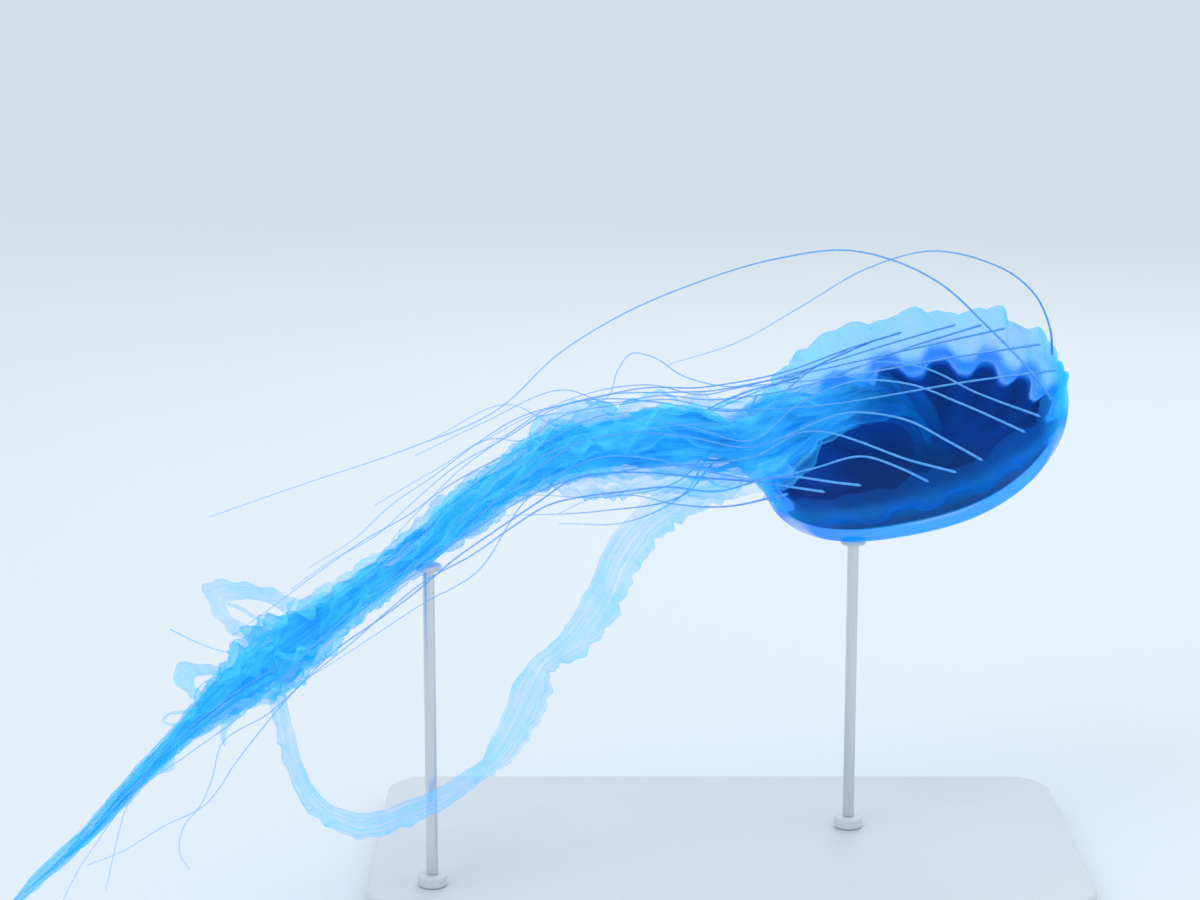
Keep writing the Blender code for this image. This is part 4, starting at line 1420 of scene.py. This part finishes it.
@dataclass(frozen=True)
class Tentacle:
    """One tentacle: its cleft, how it runs beside the trail, and the route it takes once free of it.

    Its across points are those that it passes on its way over the bell's mouth.
    """

    cleft: int
    orbit: float = 0.0
    layer: int = 0
    follow: tuple[float, ...] = ()
    free: Route = ()
    across: Route = ()


@dataclass
class Tentacles:
    """The twenty-four tentacles: thin tapering threads from the clefts of the margin."""

    arms: OralArms
    root_radius: float = 0.0015
    slimness: float = 0.72
    tip_radius: float = 0.00036
    taper: float = 0.35
    step: float = 0.0022
    sides: int = 10
    stop_gap: float = 0.035
    sway: float = 0.0018
    wander: float = radians(16)
    layers: tuple[float, float, float] = (0.004, 0.010, 0.016)
    lead: float = 0.25
    root_polar: float = radians(105)
    exit_polar: float = radians(121)
    exit_turn: float = radians(160)
    exit_width: float = 0.6
    in_two: tuple[int, ...] = (4, 7, 8, 10, 11)
    finish: ThreadFinish = ThreadFinish()
    every: tuple[Tentacle, ...] = (
        Tentacle(1, 4, 2, (0.15, 0.20), free=(
            (-0.035, -0.040, 0.361), (-0.054, -0.045, 0.374), (-0.069, -0.048, 0.377),
            (-0.078, -0.052, 0.366), (-0.084, -0.058, 0.350), (-0.098, -0.064, 0.343),
            (-0.130, -0.082, 0.340), (-0.165, -0.098, 0.324))),
        Tentacle(2, free=(
            (0.230, 0.049, 0.378), (0.220, 0.044, 0.400), (0.203, 0.038, 0.417), (0.179, 0.032, 0.429),
            (0.143, 0.024, 0.437), (0.097, 0.012, 0.427), (0.049, 0.002, 0.401), (0.007, -0.004, 0.378),
            (-0.045, -0.010, 0.362))),
        Tentacle(3, 24, 0, (0.17, 0.34), free=(
            (-0.160, -0.085, 0.326), (-0.200, -0.098, 0.307), (-0.240, -0.112, 0.286))),
        Tentacle(5, free=(
            (0.208, -0.012, 0.358), (0.176, -0.020, 0.391), (0.139, -0.030, 0.424), (0.113, -0.031, 0.437),
            (0.080, -0.031, 0.445), (0.029, -0.030, 0.439), (-0.029, -0.030, 0.421),
            (-0.076, -0.040, 0.402), (-0.117, -0.050, 0.378), (-0.159, -0.072, 0.343),
            (-0.218, -0.100, 0.322), (-0.284, -0.120, 0.303), (-0.345, -0.150, 0.287))),
        Tentacle(6, 46, 1, (0.16, 0.42), across=(
            (0.169, -0.020, 0.345), (0.133, -0.027, 0.363), (0.102, -0.030, 0.368), (0.071, -0.034, 0.360))),
        Tentacle(7, 62, 2, (0.19, 0.50), across=(
            (0.157, -0.034, 0.340), (0.120, -0.042, 0.355), (0.085, -0.042, 0.357), (0.046, -0.050, 0.343))),
        Tentacle(9, 76, 0, (0.19, 0.66), free=(
            (-0.391, -0.228, 0.116), (-0.399, -0.231, 0.088), (-0.405, -0.235, 0.062)),
            across=(
                (0.146, -0.047, 0.317), (0.120, -0.050, 0.331), (0.086, -0.046, 0.336))),
        Tentacle(10, 88, 1, (0.15, 0.64), free=(
            (-0.385, -0.237, 0.128), (-0.405, -0.250, 0.103), (-0.418, -0.256, 0.084),
            (-0.430, -0.262, 0.060))),
        Tentacle(11, 98, 2, (0.15, 0.36), free=(
            (-0.172, -0.122, 0.243), (-0.208, -0.142, 0.226), (-0.236, -0.155, 0.210),
            (-0.269, -0.172, 0.192), (-0.295, -0.188, 0.180)),
            across=(
                (0.115, -0.050, 0.298), (0.091, -0.050, 0.306))),
        Tentacle(13, 124, 1, (0.17, 0.58), free=(
            (-0.333, -0.208, 0.150), (-0.338, -0.210, 0.131), (-0.346, -0.210, 0.112),
            (-0.358, -0.209, 0.096), (-0.361, -0.208, 0.078), (-0.355, -0.206, 0.066))),
        Tentacle(14, 129, 0, (0.18, 0.55), free=(
            (-0.325, -0.186, 0.134), (-0.346, -0.193, 0.106), (-0.371, -0.206, 0.096),
            (-0.395, -0.240, 0.090), (-0.414, -0.252, 0.086))),
        Tentacle(15, 146, 2, (0.19, 0.34)),
        Tentacle(17, free=(
            (-0.002, 0.018, 0.290), (-0.030, 0.002, 0.268), (-0.090, -0.008, 0.258),
            (-0.158, -0.018, 0.257))),
        Tentacle(18, free=(
            (-0.004, 0.040, 0.292), (-0.032, 0.022, 0.262), (-0.070, 0.010, 0.246), (-0.120, 0.004, 0.246))),
        Tentacle(19, free=(
            (-0.004, 0.062, 0.294), (-0.032, 0.048, 0.268), (-0.080, 0.038, 0.258), (-0.140, 0.026, 0.262))),
        Tentacle(21, 256, 1, (0.17, 0.46)),
        Tentacle(22, 268, 0, (0.17, 0.36)),
        Tentacle(23, 280, 2, (0.17, 0.56)),
        Tentacle(25, 292, 1, (0.17, 0.44)),
        Tentacle(26, 304, 0, (0.17, 0.30), ((-0.150, -0.030, 0.338), (-0.205, -0.048, 0.318))),
        Tentacle(27, 316, 2, (0.17, 0.50)),
        Tentacle(29, 328, 1, (0.17, 0.36)),
        Tentacle(30, 340, 0, (0.17, 0.27), free=(
            (-0.115, -0.048, 0.352), (-0.168, -0.070, 0.334), (-0.215, -0.088, 0.314))),
        Tentacle(31, 352, 1, (0.17, 0.52)),
    )

    def route(self, one: Tentacle) -> Array:
        """The points a tentacle passes: out of its cleft, beside the trail, then its free route.

        Args:
            one: the tentacle.

        Returns:
            (n, 3) points. One that leaves where the arms do starts at the edge of its lappet.
        """
        turn = BELL.first_cleft + one.cleft * 2 * pi / BELL.lappets
        inset = BELL.ring_thickness + self.root_radius + 5 * GAP
        leaving = cos(turn - self.exit_turn) > self.exit_width
        route = [BELL.point(self.exit_polar if leaving else self.root_polar, turn, inset)]
        if one.follow:
            start, end = one.follow
            stops = np.linspace(start, end, max(2, round((end - start) / self.stop_gap) + 1))
            sway = self.sway * np.sin(stops * 62 + 2.1 * one.cleft)
            turning = self.wander * np.sin(stops * 17 + 2.9 * one.layer)
            out = self.arms.reach_at(stops) + self.layers[one.layer] + sway
            beside = TRAIL.place(stops, out, radians(one.orbit) + turning)
            lead = [route[0] + (beside[0] - route[0]) * self.lead]
            route += [*(one.across or lead), *beside]
        return np.array([*route, *one.free])

    def thread(self, skin: Skin, points: Array) -> None:
        """Adds a tapering thread along a smooth route, with a rounded tip and root.

        Its radius falls from root to tip with the 0.35th power of the share of its length, and swells a
        little at uneven gaps, where its stinging cells lie.

        Args:
            skin: the tentacle's skin.
            points: the points that it passes.
        """
        trail = Trail(points, THREAD_UP, self.step)
        distance = trail.along[:, None]
        share = distance / trail.length
        root = self.slimness * self.root_radius
        radius = root + (self.tip_radius - root) * share**self.taper
        radius = radius * (1 + 0.10 * wander(distance, 0.011, 1.0))
        radius = radius * trail.rounding(1.5 * radius)
        skin.add_thread(trail, radius, self.sides, along=distance, share=share)

    def build(self) -> None:
        """Makes the tentacles, each a skin of its own."""
        material = self.finish.material()
        for number, one in enumerate(self.every, 1):
            name = f"tentacle_{number:02d}"
            skin = Skin(f"{name}_skin")
            self.thread(skin, self.route(one))
            nodes = (f"{name}_root", f"{name}_tip") if number in self.in_two else (name,)
            skin.build(material, Slot.THREAD, *nodes)


# ---------------------------------------------------------------------------------------------------
# The stand and the studio


@dataclass
class Stand:
    """The display stand: a flat base, and two thin rods, each with a collar below and a soft pad on top."""

    corner: float = 0.030
    edge: float = 0.0022
    sides: int = 64
    corner_steps: int = 24
    edge_steps: int = 6
    sharp: float = radians(40)
    paint: PaintFinish = PaintFinish()
    steel: SteelFinish = SteelFinish()

    def turned(self, node: str, outline: Stations) -> Array:
        """A turned solid in a CAD node's place.

        Args:
            node: the CAD node, whose box gives the axis, the radius and the two heights.
            outline: (radius, height) shares of that box, from the bottom's middle to the top's middle.

        Returns:
            Its grid of points.
        """
        low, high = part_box(node)
        middle = (low + high) / 2
        shares = np.array(outline)[:, :, None]
        radius = shares[:, 0] * (high.x - low.x) / 2
        height = low.z + shares[:, 1] * (high.z - low.z)
        turn = around(self.sides)
        parts = (middle.x + radius * np.cos(turn), middle.y + radius * np.sin(turn), height)
        return np.stack(np.broadcast_arrays(*parts), axis=-1)

    def rounded(self, rim: float, lean: float, steps: int = 5) -> Stations:
        """The outline of a disc with rounded edges.

        Args:
            rim: how much of its radius an edge takes.
            lean: how much of its height an edge takes.
            steps: how many points round an edge.

        Returns:
            (radius, height) shares from the bottom's middle to the top's middle.
        """
        quarter = np.linspace(0, pi / 2, steps)
        low = [(1 - rim + rim * np.sin(a), lean - lean * np.cos(a)) for a in quarter]
        high = [(1 - rim + rim * np.cos(a), 1 - lean + lean * np.sin(a)) for a in quarter]
        return ((0.0, 0.0), *low, *high, (0.0, 1.0))

    def base(self, node: str) -> Array:
        """The base: a rounded rectangle whose edge is a quarter round at the top and the bottom.

        Args:
            node: the CAD node, whose box it fills.

        Returns:
            Its grid of points.
        """
        low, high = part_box(node)
        half = (high - low) / 2
        turn = around(4 * self.corner_steps)
        quarter = np.linspace(0, pi / 2, self.edge_steps)
        inset = np.concatenate([1 - np.sin(quarter), 1 - np.cos(quarter)])[:, None] * self.edge
        top = 2 * half.z - self.edge * (1 - np.sin(quarter))
        lift = np.concatenate([self.edge * (1 - np.cos(quarter)), top])[:, None]
        nudge = 1e-9
        x = np.sign(np.cos(turn + nudge)) * (half.x - self.corner) + (self.corner - inset) * np.cos(turn)
        y = np.sign(np.sin(turn + nudge)) * (half.y - self.corner) + (self.corner - inset) * np.sin(turn)
        rim = np.stack([x, y, low.z + lift + 0 * turn], axis=-1)
        upright = np.array((0, 0, 1))
        return np.concatenate([rim[:1] * upright, rim, rim[-1:] * upright])

    def build(self) -> None:
        """Makes the base, then each holder's collar, rod and pad."""
        paint = (self.paint.material(), Slot.STAND)
        steel = (self.steel.material(), Slot.STEEL)
        pieces = [("stand_base", self.base("stand_base"), paint)]
        for holder in ("arms", "bell"):
            for part, outline, finish in (
                ("collar", self.rounded(0.14, 0.18), paint),
                ("rod", self.rounded(0.10, 0.002), steel),
                ("pad", self.rounded(0.18, 0.40), paint),
            ):
                node = f"stand_{part}_{holder}"
                pieces.append((node, self.turned(node, outline), finish))
        for node, grid, finish in pieces:
            skin = Skin(f"{node}_skin")
            skin.add_grid(grid)
            skin.build(*finish, node, sharp=self.sharp)


@dataclass(frozen=True)
class Light:
    """A square soft light: its place, its side in metres, its power in watts and its colour."""

    name: str
    place: Place
    side: float
    power: float
    colour: Colour


@dataclass
class Studio:
    """The camera, the pale floor and the soft lights."""

    target: Place = (-0.09, 0.0, 0.300)
    distance: float = 2.0
    elevation: float = radians(12)
    lens: float = 85.714
    sensor: float = 36
    floor_size: float = 60.0
    surround: tuple[float, float, float, float] = (0.90, 0.955, 1.0, 1)
    surround_strength: float = 0.96
    lights: tuple[Light, ...] = (
        Light("key_light", (-1.4, -1.2, 2.2), 1.6, 13, (1.0, 0.99, 0.97)),
        Light("fill_light", (1.9, -1.0, 1.3), 2.0, 5, (0.92, 0.96, 1.0)),
        Light("back_light", (0.6, 1.9, 1.9), 1.6, 10, (0.90, 0.96, 1.0)),
    )
    finish: FloorFinish = FloorFinish()

    def place(self, name: str, data: bpy.types.ID, place: Vector) -> bpy.types.Object:
        """A camera or a light that looks at the target.

        Args:
            name: its name.
            data: its camera or light data.
            place: where it stands.

        Returns:
            Its object.
        """
        made = bpy.data.objects.new(name, data)
        made.location = place
        made.rotation_euler = (place - Vector(self.target)).to_track_quat("Z", "Y").to_euler()
        bpy.context.scene.collection.objects.link(made)
        return made

    def add_camera(self) -> None:
        """Adds the camera: at this distance and elevation in front of the target, looking at it."""
        away = Vector((0, -np.cos(self.elevation), np.sin(self.elevation)))
        data = bpy.data.cameras.new("camera")
        data.lens = self.lens
        data.sensor_width = self.sensor
        bpy.context.scene.camera = self.place("camera", data, Vector(self.target) + away * self.distance)

    def add_lights(self) -> None:
        """Adds the lights, and an even pale surround."""
        for light in self.lights:
            data = bpy.data.lights.new(light.name, "AREA")
            data.shape = "SQUARE"
            data.size = light.side
            data.energy = light.power
            data.color = light.colour
            self.place(light.name, data, Vector(light.place))
        world = bpy.data.worlds.new("studio")
        world.use_nodes = True
        background = world.node_tree.nodes["Background"]
        background.inputs["Color"].default_value = self.surround
        background.inputs["Strength"].default_value = self.surround_strength
        bpy.context.scene.world = world

    def add_floor(self) -> None:
        """Adds the floor: one large flat square under the stand."""
        half = self.floor_size / 2
        mesh = bpy.data.meshes.new("studio_floor")
        corners = [(-half, -half, 0), (half, -half, 0), (half, half, 0), (-half, half, 0)]
        mesh.from_pydata(corners, [], [(0, 1, 2, 3)])
        mesh.materials.append(self.finish.material())
        floor = bpy.data.objects.new("studio_floor", mesh)
        bpy.context.scene.collection.objects.link(floor)

    def build(self) -> None:
        """Sets up the whole studio."""
        bpy.context.scene.view_settings.view_transform = "Standard"
        self.add_camera()
        self.add_lights()
        self.add_floor()


def main() -> None:
    """Builds the studio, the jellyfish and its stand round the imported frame."""
    logging.basicConfig(level=logging.INFO, format="%(message)s")
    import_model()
    Studio().build()
    stomach = Stomach()
    Bell(stomach).build()
    stomach.build()
    arms = OralArms()
    frill = arms.build()
    Manubrium().build(frill)
    LoopArm(arms).build(frill)
    Tentacles(arms).build()
    Stand().build()


if __name__ == "__main__":
    main()
